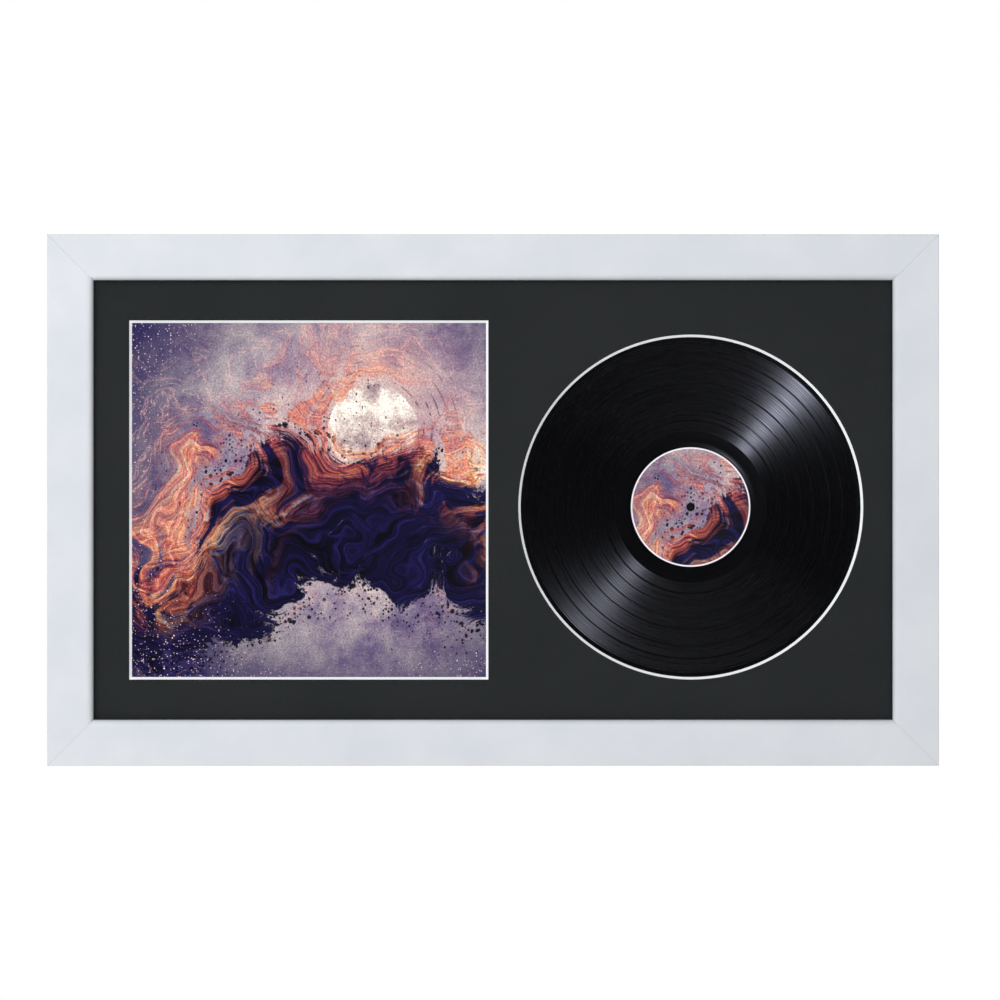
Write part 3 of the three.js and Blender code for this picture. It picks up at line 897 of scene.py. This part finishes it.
# The real pitch is 0.1 mm. Grooves are drawn 1.8 mm apart so that single rings show.
GROOVE_COUNT = 43
GROOVE_PITCH = (GROOVE_END - GROOVE_START) / GROOVE_COUNT
RINGS_PER_GROOVE = 6
gap_mesh = new_mesh("track_gaps", [(gap, 0, 0) for gap in TRACK_GAPS])
gap_points = new_object("carrier", gap_mesh)
disc_mesh = grow(
    grooves,
    disc_rest,
    {
        "Track gaps": gap_points,
        "Centre": (disc_middle[0], disc_plane - RUN_OUT, disc_middle[1]),
        "Inner radius": GROOVE_START,
        "Outer radius": GROOVE_END,
        "Steps": DISC_STEPS + 1,
        "Rings": GROOVE_COUNT * RINGS_PER_GROOVE + 1,
        "Pitch": GROOVE_PITCH,
        "Depth": GROOVE_DEPTH,
        "Gap": TRACK_GAP_WIDTH,
        "Vinyl": grooved_vinyl,
    },
)
bpy.data.objects.remove(gap_points)
face_outwards(disc_mesh)
disc_mesh.materials.clear()
disc_mesh.materials.append(grooved_vinyl)
disc_mesh.materials.append(smooth_vinyl)
for face in disc_mesh.polygons:
    radius = math.dist((face.center.x, face.center.z), disc_middle)
    off_gap = min(abs(radius - gap) for gap in TRACK_GAPS)
    in_track = off_gap > SMOOTH_SHARE * TRACK_GAP_WIDTH
    face.material_index = 0 if in_track and GROOVE_START < radius < GROOVE_END else 1
add_piece("grooved_disc", disc_mesh, FRAME_BODY, ["record"])
print("groove pitch, mm:", round(GROOVE_PITCH / MM, 2))

# %% [markdown]
# ## Printed art
#
# The sleeve and the label carry a printed picture. Here it is a picture of nothing in particular:
# a pale moon with worn rings over a sweep of ink and drifting smoke, in violet, mauve, navy, coral
# and cream. It is made the way that such prints are made, in layers. Clouds of noise give the
# paper, distance from a point gives the moon and its rings, a noise that is bent by another noise
# gives ribbons of smoke, and cells of random size give spatter. The label takes another part of
# the same picture, as labels often do. Lengths in the print are shares of the sleeve's half width.

# %% Drift and spatter
def drifting(add, place):
    """A place that a broad noise has bent, and strands that are combed along the bends."""
    bend = add("TexNoise", {"Vector": place, "Scale": 1.1, "Detail": 3.0, "Roughness": 0.5})
    centred = add("VectorMath SUBTRACT", [bend.outputs["Color"], (0.5, 0.5, 0.5)])
    drifted = add("VectorMath MULTIPLY_ADD", [centred, (1.5, 0.0, 1.5), place])
    # Strands are a noise that is stretched along the drift, fifty to the half width.
    combed = add("VectorMath MULTIPLY", [drifted, (5.0, 0.0, 50.0)])
    strands = add(
        "TexNoise",
        {"Vector": combed, "Scale": 1.0, "Detail": 5.0, "Roughness": 0.7, "Distortion": 0.9},
    )
    return drifted, strands


def spatter(add, place, under, size, chance, colour):
    """Drops over a colour. A cell has one where its luck is below the chance."""
    cells = add("TexVoronoi", {"Vector": place, "Scale": size}).outputs
    luck = add("SeparateColor", [cells["Color"]])
    drop_size = add("Math SUBTRACT", [chance, luck])
    inside = add("Math SUBTRACT", [cells["Distance"], drop_size])
    drops = add("MapRange", [inside, -0.04, 0.02, 0.92, 0.0])
    return add("Mix", [drops, under, linear(colour)], data_type="RGBA")


# %% Paper and moon
LIGHT_PLACE = (0.25, 0, 0.15)
MOON_PLACE = (0.36, 0, 0.4)
MOON_RADIUS = 0.28
MOON_RING_STEP = 0.024
PAPER_SHADES = [
    (0.3, "#5e4f76"), (0.42, "#97879a"), (0.52, "#c1b4b1"), (0.62, "#ddd2c4"), (0.76, "#f2e9d8")
]
MOON_SHADES = [(0.34, "#8e7383"), (0.46, "#cdbab0"), (0.56, "#efe6d6"), (0.7, "#fbf6ea")]


def dusky_paper(add, place):
    """Mottled grey paper that darkens to indigo towards the corners, and its dusk."""
    mottle = add("TexNoise", {"Vector": place, "Scale": 1.9, "Detail": 14.0, "Roughness": 0.74})
    paper = add("ValToRGB", [mottle], PAPER_SHADES)
    from_light = add("VectorMath DISTANCE", [place, LIGHT_PLACE])
    dusk = add("MapRange", [from_light, 0.55, 1.6, 0.0, 0.95], interpolation_type="SMOOTHSTEP")
    return add("Mix", [dusk, paper, linear("#221b5c")], data_type="RGBA"), dusk


def moon_over(add, place, under):
    """A pale worn disc with a glow and thin broken rings."""
    from_moon = add("VectorMath DISTANCE", [place, MOON_PLACE])
    glow = add("MapRange", [from_moon, 0.26, 0.85, 0.55, 0.0], interpolation_type="SMOOTHSTEP")
    glowing = add("Mix", [glow, under, linear("#d9b7ac")], data_type="RGBA")
    to_ring = add("Math PINGPONG", [from_moon, MOON_RING_STEP])
    ring_line = add("MapRange", [to_ring, 0.002, 0.007, 1.0, 0.0])
    worn = add("TexNoise", {"Vector": place, "Scale": 5.0, "Detail": 8.0, "Roughness": 0.75})
    unbroken = add("MapRange", [worn, 0.5, 0.56, 0.0, 0.8])
    ring_reach = add("MapRange", [from_moon, 0.3, 0.62, 1.0, 0.0])
    broken = add("Math MULTIPLY", [ring_line, unbroken])
    rings = add("Math MULTIPLY", [broken, ring_reach])
    ringed = add("Mix", [rings, glowing, linear("#4a2a58")], data_type="RGBA")
    seas = add("ValToRGB", [worn], MOON_SHADES)
    rough_rim = add("Math MULTIPLY_ADD", [worn, 0.05, from_moon])
    moon = add("MapRange", [rough_rim, MOON_RADIUS - 0.005, MOON_RADIUS + 0.005, 1.0, 0.0])
    return add("Mix", [moon, ringed, seas], data_type="RGBA")


# %% Ink and smoke
INK_SHADES = [(0.39, "#080512"), (0.51, "#1e1648"), (0.63, "#342a66"), (0.79, "#6a5f94")]
SMOKE_SHADES = [
    (0.3, "#3a1634"),
    (0.4, "#8a3f5c"),
    (0.48, "#c9685c"),
    (0.56, "#dd8f63"),
    (0.64, "#ecc191"),
    (0.74, "#faf0d8"),
]


def ink_over(add, place, drifted, strands, under):
    """A broad dark sweep that rises from the lower left, its share, and the way to its path."""
    across = add("SeparateXYZ", [place]).outputs["X"]
    phase = add("Math MULTIPLY_ADD", [across, 2.3, 0.9])
    wave = add("Math SINE", [phase])
    path = add("Math MULTIPLY_ADD", [wave, 0.34, -0.3])
    height = add("SeparateXYZ", [drifted]).outputs["Z"]
    off_path = add("Math SUBTRACT", [height, path])
    beside_path = add("Math ABSOLUTE", [off_path])
    torn = add(
        "TexNoise",
        {"Vector": drifted, "Scale": 3.15, "Detail": 14.0, "Roughness": 0.78, "Distortion": 0.5},
    )
    edge = add("Math MULTIPLY_ADD", [torn, -1.3, beside_path])
    ink = add("MapRange", [edge, -0.37, -0.33, 1.0, 0.0])
    # Its drops lie under it. They thin out away from it, in three sizes.
    for size, reach in ((22.0, 0.24), (36.0, 0.44), (60.0, 0.72)):
        chance = add("MapRange", [edge, -0.4, reach - 0.3, 0.66, 0.0])
        under = spatter(add, place, under, size, chance, "#140c24")
    # It is black in its depth and navy on its folds.
    folds = add("ValToRGB", [strands], INK_SHADES)
    return add("Mix", [ink, under, folds], data_type="RGBA"), ink, off_path


def smoke_over(add, drifted, strands, off_path, ink, under):
    """Bright threads along a ridged noise, thickest in a band above the ink."""
    threads = add(
        "TexNoise",
        {"Vector": drifted, "Scale": 2.1, "Detail": 9.0, "Roughness": 0.66, "Distortion": 1.3},
    )
    off_ridge = add("Math SUBTRACT", [threads, 0.5])
    ridge = add("Math ABSOLUTE", [off_ridge])
    bright = add("MapRange", [ridge, 0.0, 0.075, 1.0, 0.0])
    above = add("Math ADD", [off_path, -0.42])
    off_belt = add("Math ABSOLUTE", [above])
    belt = add("MapRange", [off_belt, 0.1, 0.55, 1.0, 0.0], interpolation_type="SMOOTHSTEP")
    smoke = add("Math MULTIPLY", [bright, belt])
    heat = add("TexNoise", {"Vector": drifted, "Scale": 1.4, "Detail": 6.0, "Roughness": 0.6})
    stranded = add("Math MULTIPLY_ADD", [strands, 0.9, heat])
    warmth = add("Math SUBTRACT", [stranded, 0.45])
    warm = add("ValToRGB", [warmth], SMOKE_SHADES)
    smoked = add("Mix", [smoke, under, warm], data_type="RGBA")
    # The thinnest threads drift on beyond the belt, but not over the ink.
    hair = add("MapRange", [ridge, 0.002, 0.014, 0.55, 0.0])
    far_belt = add("MapRange", [off_belt, 0.5, 1.2, 1.0, 0.0])
    thin = add("Math MULTIPLY", [hair, far_belt])
    off_ink = add("Math SUBTRACT", [thin, ink])
    return add("Mix", [off_ink, smoked, linear("#e9bcae")], data_type="RGBA")


# %% Sleeve and label finishes
def smoke_print(add, place):
    """Colour of the print where place runs from -1 to 1 across and up the sleeve."""
    drifted, strands = drifting(add, place)
    paper, dusk = dusky_paper(add, place)
    moonlit = moon_over(add, place, paper)
    spotted, ink, off_path = ink_over(add, place, drifted, strands, moonlit)
    # Pale sparks lie in the dusk, in two sizes.
    for size, share in ((55.0, 0.3), (110.0, 0.4)):
        chance = add("MapRange", [dusk, 0.05, 0.8, 0.0, share])
        spotted = spatter(add, place, spotted, size, chance, "#ecd3cd")
    smoked = smoke_over(add, drifted, strands, off_path, ink, spotted)
    grain = add("TexNoise", {"Vector": place, "Scale": 95.0, "Detail": 3.0, "Roughness": 0.7})
    soft_grain = add("MapRange", [grain, 0.25, 0.75, 0.55, 1.4])
    grained = add("VectorMath SCALE", [smoked, soft_grain])
    # A glossy coat deepens the inks and lifts the lights.
    deep = add("Gamma", [grained, 1.35])
    return add("VectorMath MULTIPLY", [deep, (1.3, 1.31, 1.4)])


def printed(name, middle, shift, **settings):
    """Litho-printed paper. The print is as large as on the sleeve, centred on middle and moved by
    shift, and its ink film keeps the finest ripple of the paper."""
    finish, add, shader, place = new_finish(name, **settings)
    half = sleeve_window
    on_print = add(
        "Mapping",
        {
            "Vector": place,
            "Location": (shift[0] - middle[0] / half, 0, shift[1] - middle[1] / half),
            "Scale": (1 / half, 0, 1 / half),
        },
    )
    colour = smoke_print(add, on_print)
    coat = add("TexNoise", {"Vector": place, "Scale": per_metre(1.2), "Detail": 3.0})
    dress(add, shader, colour, coat, 0.12, 0.03)
    return finish, add, shader, colour, place


sleeve_print, *_ = printed(
    "coated_sleeve_print", sleeve_middle, (0, 0), Roughness=0.5, Specular_IOR_Level=0.2
)
finish_sheet("album_sleeve", sleeve_print)

LABEL_SHIFT = (-0.45, 0.26)
label_print, add, shader, colour, place = printed(
    "uncoated_label_print", disc_middle, LABEL_SHIFT, Roughness=0.75, Specular_IOR_Level=0.3
)
# The print ends a little before the label's cut edge, so a thin pale ring of paper is left.
PAPER_RING = 1.3 * MM
PRINT_BLUR = 0.1 * MM
print_edge = label_radius - PAPER_RING
off_axis = from_spindle(add, place)
bare_paper = add("MapRange", [off_axis, print_edge - PRINT_BLUR, print_edge + PRINT_BLUR, 0.0, 1.0])
ringed = add("Mix", [bare_paper, colour, linear("#faf4f7")], data_type="RGBA")
set_sockets(shader, {"Base Color": ringed})

# %% Labels
LABEL_STEPS = 160
LABEL_ROUND = 0.05 * MM
for name in ("label_front", "label_back"):
    low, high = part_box(name)
    profile = [
        (HOLE_RADIUS, low.y),
        (label_radius - LABEL_ROUND, low.y),
        (label_radius, low.y + LABEL_ROUND),
        (label_radius, high.y - LABEL_ROUND),
        (label_radius - LABEL_ROUND, high.y),
        (HOLE_RADIUS, high.y),
        (HOLE_RADIUS, low.y),
    ]
    paper = face_outwards(turned(profile, LABEL_STEPS, disc_middle, label_print))
    add_piece(f"paper_{name}", paper, FRAME_BODY, [name])

# %% [markdown]
# ## Boards behind
#
# Three more sheets fill the rebate. A dark carrier board holds the sleeve and the disc in two
# recesses, a soft black board presses them forward, and a hardboard back closes the frame. Only
# the hardboard shows, from behind. Its rough side faces out: it was pressed against a wire
# screen, which leaves a fine woven imprint in the brown fibre.

# %% Board finishes
greys = (0.8, 6.0, [(0.3, "#2c2d30"), (0.7, "#434447")], 0.7)
blacks = (0.9, 6.0, [(0.3, "#0c0c0d"), (0.7, "#19191b")], 0.7)
brown_stops = [(0.3, "#5b3d26"), (0.45, "#7a5535"), (0.6, "#8f6843"), (0.75, "#a98057")]
browns = (0.7, 6.0, brown_stops, 0.7)
wear = (35, 4.0, [(0.3, "#f0ece8"), (0.7, "#ffffff")])
carrier_card, *_ = fibrous("grey_carrier_card", greys, wear, 0.3, 0.05, Roughness=0.92)
filler_card, *_ = fibrous("black_soft_board", blacks, wear, 0.3, 0.06, Roughness=0.92)
hardboard, add, shader, place, relief = fibrous(
    "screen_back_hardboard", browns, wear, 0.3, 0.07, Roughness=0.82
)
# The screen's wires stand about 1.1 mm apart. They are drawn 2 mm apart so that they show.
SCREEN_PITCH = 2.0 * MM
weave = [
    add(
        "TexWave",
        {"Vector": place, "Scale": math.pi / (10 * SCREEN_PITCH), "Distortion": 0.6},
        bands_direction=direction,
    ).outputs["Fac"]
    for direction in ("X", "Z")
]
imprint = add("Math MULTIPLY", weave)
pressed = add("Bump", {"Height": imprint, "Strength": 0.5, "Distance": 0.12 * MM, "Normal": relief})
set_sockets(shader, {"Normal": pressed})
BACK_SOFTENING = 0.3 * MM
finish_sheet("carrier_board", carrier_card)
finish_sheet("filler_board", filler_card)
finish_sheet("backing_board", hardboard, BACK_SOFTENING)

# %% [markdown]
# ## Metal and rubber
#
# Turn buttons, hangers, rings and screws are mild steel with a bright zinc plate: a cool silver
# with cloudy patches and the fine streaks of the rolled strip that it was stamped from. The nails
# are plain steel. The bumpers are soft dark rubber with a dull, slightly dusty skin.

# %% Zinc, steel and rubber
# Streaks run up and down, so many to the metre.
STREAKS_UPWARD = 90


def plated(name, stops, streak, low_gloss, high_gloss):
    """Rolled steel strip. A streak is so many millimetres wide and more or less glossy."""
    finish, add, shader, place = new_finish(name, Metallic=1.0)
    _, tone = mottled(add, place, 4, 4.0, stops)
    stretch = (per_metre(streak), per_metre(streak), STREAKS_UPWARD)
    stretched = add("Mapping", {"Vector": place, "Scale": stretch})
    streaks = add("TexNoise", {"Vector": stretched, "Scale": 1.0, "Detail": 3.0})
    gloss = add("MapRange", [streaks, 0.3, 0.7, low_gloss, high_gloss])
    dress(add, shader, tone, streaks, 0.06, 0.03, Roughness=gloss)
    return finish


silvers = [(0.3, "#bfc5ca"), (0.5, "#cdd1d4"), (0.7, "#dcdbd2")]
zinc = plated("bright_zinc_plate", silvers, 0.4, 0.26, 0.36)
nail_steel = plated("plain_nail_steel", [(0.3, "#7d8186"), (0.7, "#a3a5a6")], 0.3, 0.3, 0.5)
for name in nail_nodes:
    finish_sheet(name, nail_steel)

rubber, add, shader, place = new_finish("soft_rubber", Roughness=0.7)
_, dark = mottled(add, place, 2.5, 5.0, [(0.3, "#2b2b2c"), (0.7, "#454546")])
skin = add("TexNoise", {"Vector": place, "Scale": per_metre(0.4), "Detail": 2.0})
dress(add, shader, dark, skin, 0.3, 0.05)

# %% [markdown]
# ## Turn buttons
#
# A turn button is a stamped drop-shaped plate. Its round head is screwed to the moulding and its
# tip reaches over the back board. Each one turns by itself, so each is a piece of its own on its
# own body. The outline is two arcs joined by their common tangents.

# %% Turn buttons
BUTTON_TIP = 4.6 * MM
BUTTON_SOFTENING = 0.25 * MM
SCREW_HOLE = 1.8 * MM
HOLE_STEPS = 24
ARC_STEPS = 28
# A screw's head stands this far off its button, so that the button can turn.
SCREW_SLACK = 0.3 * MM
heads = []


def drop_outline(head, tip, head_radius, tip_radius):
    """Two arcs round (x, z) middles, joined by straight tangents."""
    along = math.atan2(tip[1] - head[1], tip[0] - head[0])
    lean = math.acos((head_radius - tip_radius) / math.dist(head, tip))
    big = ring_points(head, head_radius, ARC_STEPS, along + lean, 2 * (math.pi - lean))
    small = ring_points(tip, tip_radius, ARC_STEPS, along - lean, 2 * lean)
    return big + small


for name in nodes_called("turn_button"):
    low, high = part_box(name)
    size = high - low
    middle = middle_of(low, high)
    head_radius = min(size.x, size.z) / 2
    half_length = max(size.x, size.z) / 2
    upright = size.z > size.x
    sign = -1 if middle[upright] > 0 else 1
    inwards = (0, sign) if upright else (sign, 0)
    head = [m - (half_length - head_radius) * step for m, step in zip(middle, inwards)]
    tip = [m + (half_length - BUTTON_TIP) * step for m, step in zip(middle, inwards)]
    outline = drop_outline(head, tip, head_radius, BUTTON_TIP)
    loops = [outline, ring_points(head, SCREW_HOLE, HOLE_STEPS)]
    carrier = new_object("carrier", plate(loops, loops, low.y, high.y, [zinc]))
    soften(carrier, "stamped", BUTTON_SOFTENING, 3, 50)
    body = name.replace("turn_button", "button")
    piece_name = name.replace("turn_button", "zinc_button")
    add_piece(piece_name, settle(carrier), body, [name])
    heads.append((head[0], high.y + SCREW_SLACK, head[1]))

# %% [markdown]
# ## Screws
#
# One pan-head screw with a cross recess is turned and cut, and Geometry Nodes set a copy of it at
# every place, each turned by its own random amount, as a screwdriver leaves them.

# %% One screw
HEAD_RADIUS = 3.2 * MM
HEAD_HEIGHT = 1.7 * MM
HEAD_CHAMFER = 0.15 * MM
# The head's side is upright for this share of its height, and domed above it.
HEAD_SIDE = 0.42
DOME_STEPS = 8
SHANK_RADIUS = 1.5 * MM
SHANK_END = -5 * MM
SCREW_TIP = -6 * MM
SCREW_STEPS = 32
dome = [
    (HEAD_RADIUS * math.cos(a), HEAD_HEIGHT * (HEAD_SIDE + (1 - HEAD_SIDE) * math.sin(a)))
    for a in (math.radians(90 * k / DOME_STEPS) for k in range(DOME_STEPS))
]
screw_profile = [
    (AXIS, SCREW_TIP),
    (SHANK_RADIUS, SHANK_END),
    (SHANK_RADIUS, 0),
    (HEAD_RADIUS - HEAD_CHAMFER, 0),
    (HEAD_RADIUS, HEAD_CHAMFER),
    *dome,
    (AXIS, HEAD_HEIGHT),
]
screw_mesh = turned(screw_profile, SCREW_STEPS, (0, 0), zinc)
screw = new_object("carrier", face_outwards(screw_mesh, close_ends=True))

RECESS_HALF = 1.75 * MM
RECESS_WIDTH = 0.8 * MM
RECESS_DEPTH = 1.15 * MM
# Each arm of the cross narrows to the first share at its floor and widens to the second above.
RECESS_SHARES = (0.35, 1.15)
recess_heights = (HEAD_HEIGHT - RECESS_DEPTH, HEAD_HEIGHT + MM)
recess = bmesh.new()
for wide, narrow in ((RECESS_HALF, RECESS_WIDTH / 2), (RECESS_WIDTH / 2, RECESS_HALF)):
    corners = []
    for share, y in zip(RECESS_SHARES, recess_heights):
        half_x = wide * share if wide > narrow else wide
        half_z = narrow * share if narrow > wide else narrow
        corners.append([recess.verts.new((x * half_x, y, z * half_z)) for x, z in SQUARE])
    recess.faces.new(corners[0])
    recess.faces.new(corners[1][::-1])
    for i in range(4):
        recess.faces.new((corners[0][i], corners[1][i], corners[1][i - 1], corners[0][i - 1]))
recess_cutter = new_object("carrier", mesh_of(recess, "cross_recess"))
cut_away(screw, "cross_recess", recess_cutter).use_self = True
screw_shape = new_object("carrier", settle(screw))
bpy.data.objects.remove(recess_cutter)
print("faces of a screw:", len(screw_shape.data.polygons))

# %% Screws
SPIN_SEED = 4
screws, add, given = new_tree("screws", Object=["Screw"], Int=["Seed"], Material=["Zinc"])
one = add("ObjectInfo", {"Object": given["Screw"], "As Instance": True}, transform_space="ORIGINAL")
spin = add("RandomValue", {"Min": 0.0, "Max": math.pi, "Seed": given["Seed"]}, data_type="FLOAT")
driven_in = add(
    "InstanceOnPoints",
    {
        "Points": given["Geometry"],
        "Instance": one.outputs["Geometry"],
        "Rotation": add("CombineXYZ", {"Y": spin}),
    },
)
end_tree(screws, driven_in, given["Zinc"])

hanger_screws = nodes_called("hanger_screw")
for name in hanger_screws:
    low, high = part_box(name)
    middle = middle_of(low, high)
    heads.append((middle[0], high.y - HEAD_HEIGHT, middle[1]))
screw_places = new_mesh("screw_places", heads)
screw_nodes = hanger_screws + nodes_called("button_screw")
all_screws = grow(screws, screw_places, {"Screw": screw_shape, "Seed": SPIN_SEED, "Zinc": zinc})
bpy.data.objects.remove(screw_shape)
add_piece("pan_head_screws", all_screws, FRAME_BODY, screw_nodes)
print("screws:", len(heads))

# %% [markdown]
# ## Hangers
#
# A hanger is one steel strap folded round the bar of a D-shaped ring. From the side its path runs
# out along the moulding, round the bar and back. The strap is drawn as a ribbon along that path,
# with its free ends rounded, and Solidify gives it the thickness of the strip. The ring is a wire
# that follows a closed path, so Geometry Nodes sweep a circle along it.

# %% Straps
STRIP = 0.86 * MM
LEAF = 0.9 * MM
BAR_RADIUS = 1.1 * MM
EYE_GAP = 0.3 * MM
EYE_MIDDLE = BAR_RADIUS + EYE_GAP + LEAF / 2
EYE_HEIGHT = EYE_MIDDLE + LEAF / 2
EYE_STEPS = 40
FOLD_STEPS = 10
STRAP_CORNER = 3.0 * MM
STRAP_SOFTENING = 0.12 * MM
STRAP_ROWS = [-1, -0.8, -0.4, 0, 0.4, 0.8, 1]


def strap_path(length):
    """(out from the bar, up from the moulding) along the middle of the strip."""
    upper = 1.5 * LEAF
    back = EYE_HEIGHT - upper
    angles = [math.radians(90 * k / FOLD_STEPS) for k in range(FOLD_STEPS + 1)]
    out = [length - STRAP_CORNER * (1 - math.cos(angle)) for angle in angles]
    lower = [(distance, LEAF / 2) for distance in out]
    down = math.radians(270)
    eye = ring_points((0, EYE_HEIGHT), EYE_MIDDLE, EYE_STEPS, down, -down)
    fold_middle = (EYE_MIDDLE + back, EYE_HEIGHT)
    turn_back = ring_points(fold_middle, back, FOLD_STEPS, math.pi, math.radians(90))
    over = [(distance, upper) for distance in reversed(out)]
    return lower + eye + turn_back[1:] + over


def strap_mesh(eye, outwards, length, half_width):
    path = strap_path(length)
    vertices, faces = [], []
    for distance, up in path:
        from_end = max(0.0, STRAP_CORNER - (length - distance))
        half = half_width - STRAP_CORNER + math.sqrt(max(STRAP_CORNER**2 - from_end**2, 0))
        for share in STRAP_ROWS:
            vertices.append((eye[0] + outwards * distance, rail_back + up, eye[1] + share * half))
    row = len(STRAP_ROWS)
    for i in range(len(path) - 1):
        for j in range(row - 1):
            a = i * row + j
            faces.append((a, a + 1, a + row + 1, a + row))
    mesh = new_mesh("strap", vertices, faces=faces)
    mesh.materials.append(zinc)
    return mesh


for side, outwards in (("left", -1), ("right", 1)):
    low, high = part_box(f"hanger_strap_{side}")
    bar_end = high.x if outwards < 0 else low.x
    eye = (bar_end + outwards * EYE_HEIGHT, (low.z + high.z) / 2)
    ribbon = strap_mesh(eye, outwards, high.x - low.x - EYE_HEIGHT, (high.z - low.z) / 2)
    carrier = new_object("carrier", ribbon)
    strip = carrier.modifiers.new("strip", "SOLIDIFY")
    strip.thickness = STRIP
    strip.offset = 0
    soften(carrier, "rolled_edge", STRAP_SOFTENING, 2, 60)
    strap = face_outwards(settle(carrier))
    add_piece(f"folded_strap_{side}", strap, FRAME_BODY, [f"hanger_strap_{side}"])

# %% Rings
RING_CORNER = 3.0 * MM
RING_THROAT = 6.0 * MM
CORNER_STEPS = 9
BOW_STEPS = 33
WIRE_STEPS = 16

wires, add, given = new_tree("bent wire", Float=["Radius"], Int=["Steps"], Material=["Zinc"])
path_curve = add("MeshToCurve", {"Mesh": given["Geometry"]})
round_section = add(
    "CurvePrimitiveCircle", {"Resolution": given["Steps"], "Radius": given["Radius"]}, mode="RADIUS"
)
tube = add("CurveToMesh", {"Curve": path_curve, "Profile Curve": round_section})
end_tree(wires, tube, given["Zinc"])

for side, inwards in (("left", 1), ("right", -1)):
    low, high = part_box(f"d_ring_{side}")
    ring_y = (low.y + high.y) / 2
    bar_x = low.x + BAR_RADIUS if inwards > 0 else high.x - BAR_RADIUS
    middle_z = (low.z + high.z) / 2
    half = (high.z - low.z) / 2 - BAR_RADIUS
    corner = half - RING_CORNER
    quarter = math.pi / 2
    outline = [
        *ring_points((RING_CORNER, corner), RING_CORNER, CORNER_STEPS, math.pi, -quarter),
        *ring_points((RING_THROAT, 0), half, BOW_STEPS, quarter, -math.pi),
        *ring_points((RING_CORNER, -corner), RING_CORNER, CORNER_STEPS, -quarter, -quarter),
    ]
    points = [(bar_x + inwards * x, ring_y, middle_z + z) for x, z in outline]
    wire_sizes = {"Radius": BAR_RADIUS, "Steps": WIRE_STEPS, "Zinc": zinc}
    ring = face_outwards(grow(wires, closed_wire("ring_path", points), wire_sizes))
    add_piece(f"wire_ring_{side}", ring, f"ring_{side}", [f"d_ring_{side}"])

# %% [markdown]
# ## Bumpers
#
# Two soft pads hold the lower corners off the wall. Each is a moulded button with a crowned face.

# %% Bumpers
CROWN = 1.2 * MM
CROWN_STEPS = 8
PAD_STEPS = 48
for side in ("left", "right"):
    low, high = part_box(f"bumper_{side}")
    pad_radius = (high.x - low.x) / 2
    crown_middle = (pad_radius - CROWN, high.y - CROWN)
    crown = ring_points(crown_middle, CROWN, CROWN_STEPS, 0, math.pi / 2)
    profile = [(AXIS, low.y), (pad_radius, low.y), *crown, (AXIS, high.y)]
    pad = face_outwards(turned(profile, PAD_STEPS, middle_of(low, high), rubber))
    add_piece(f"rubber_bumper_{side}", pad, FRAME_BODY, [f"bumper_{side}"])
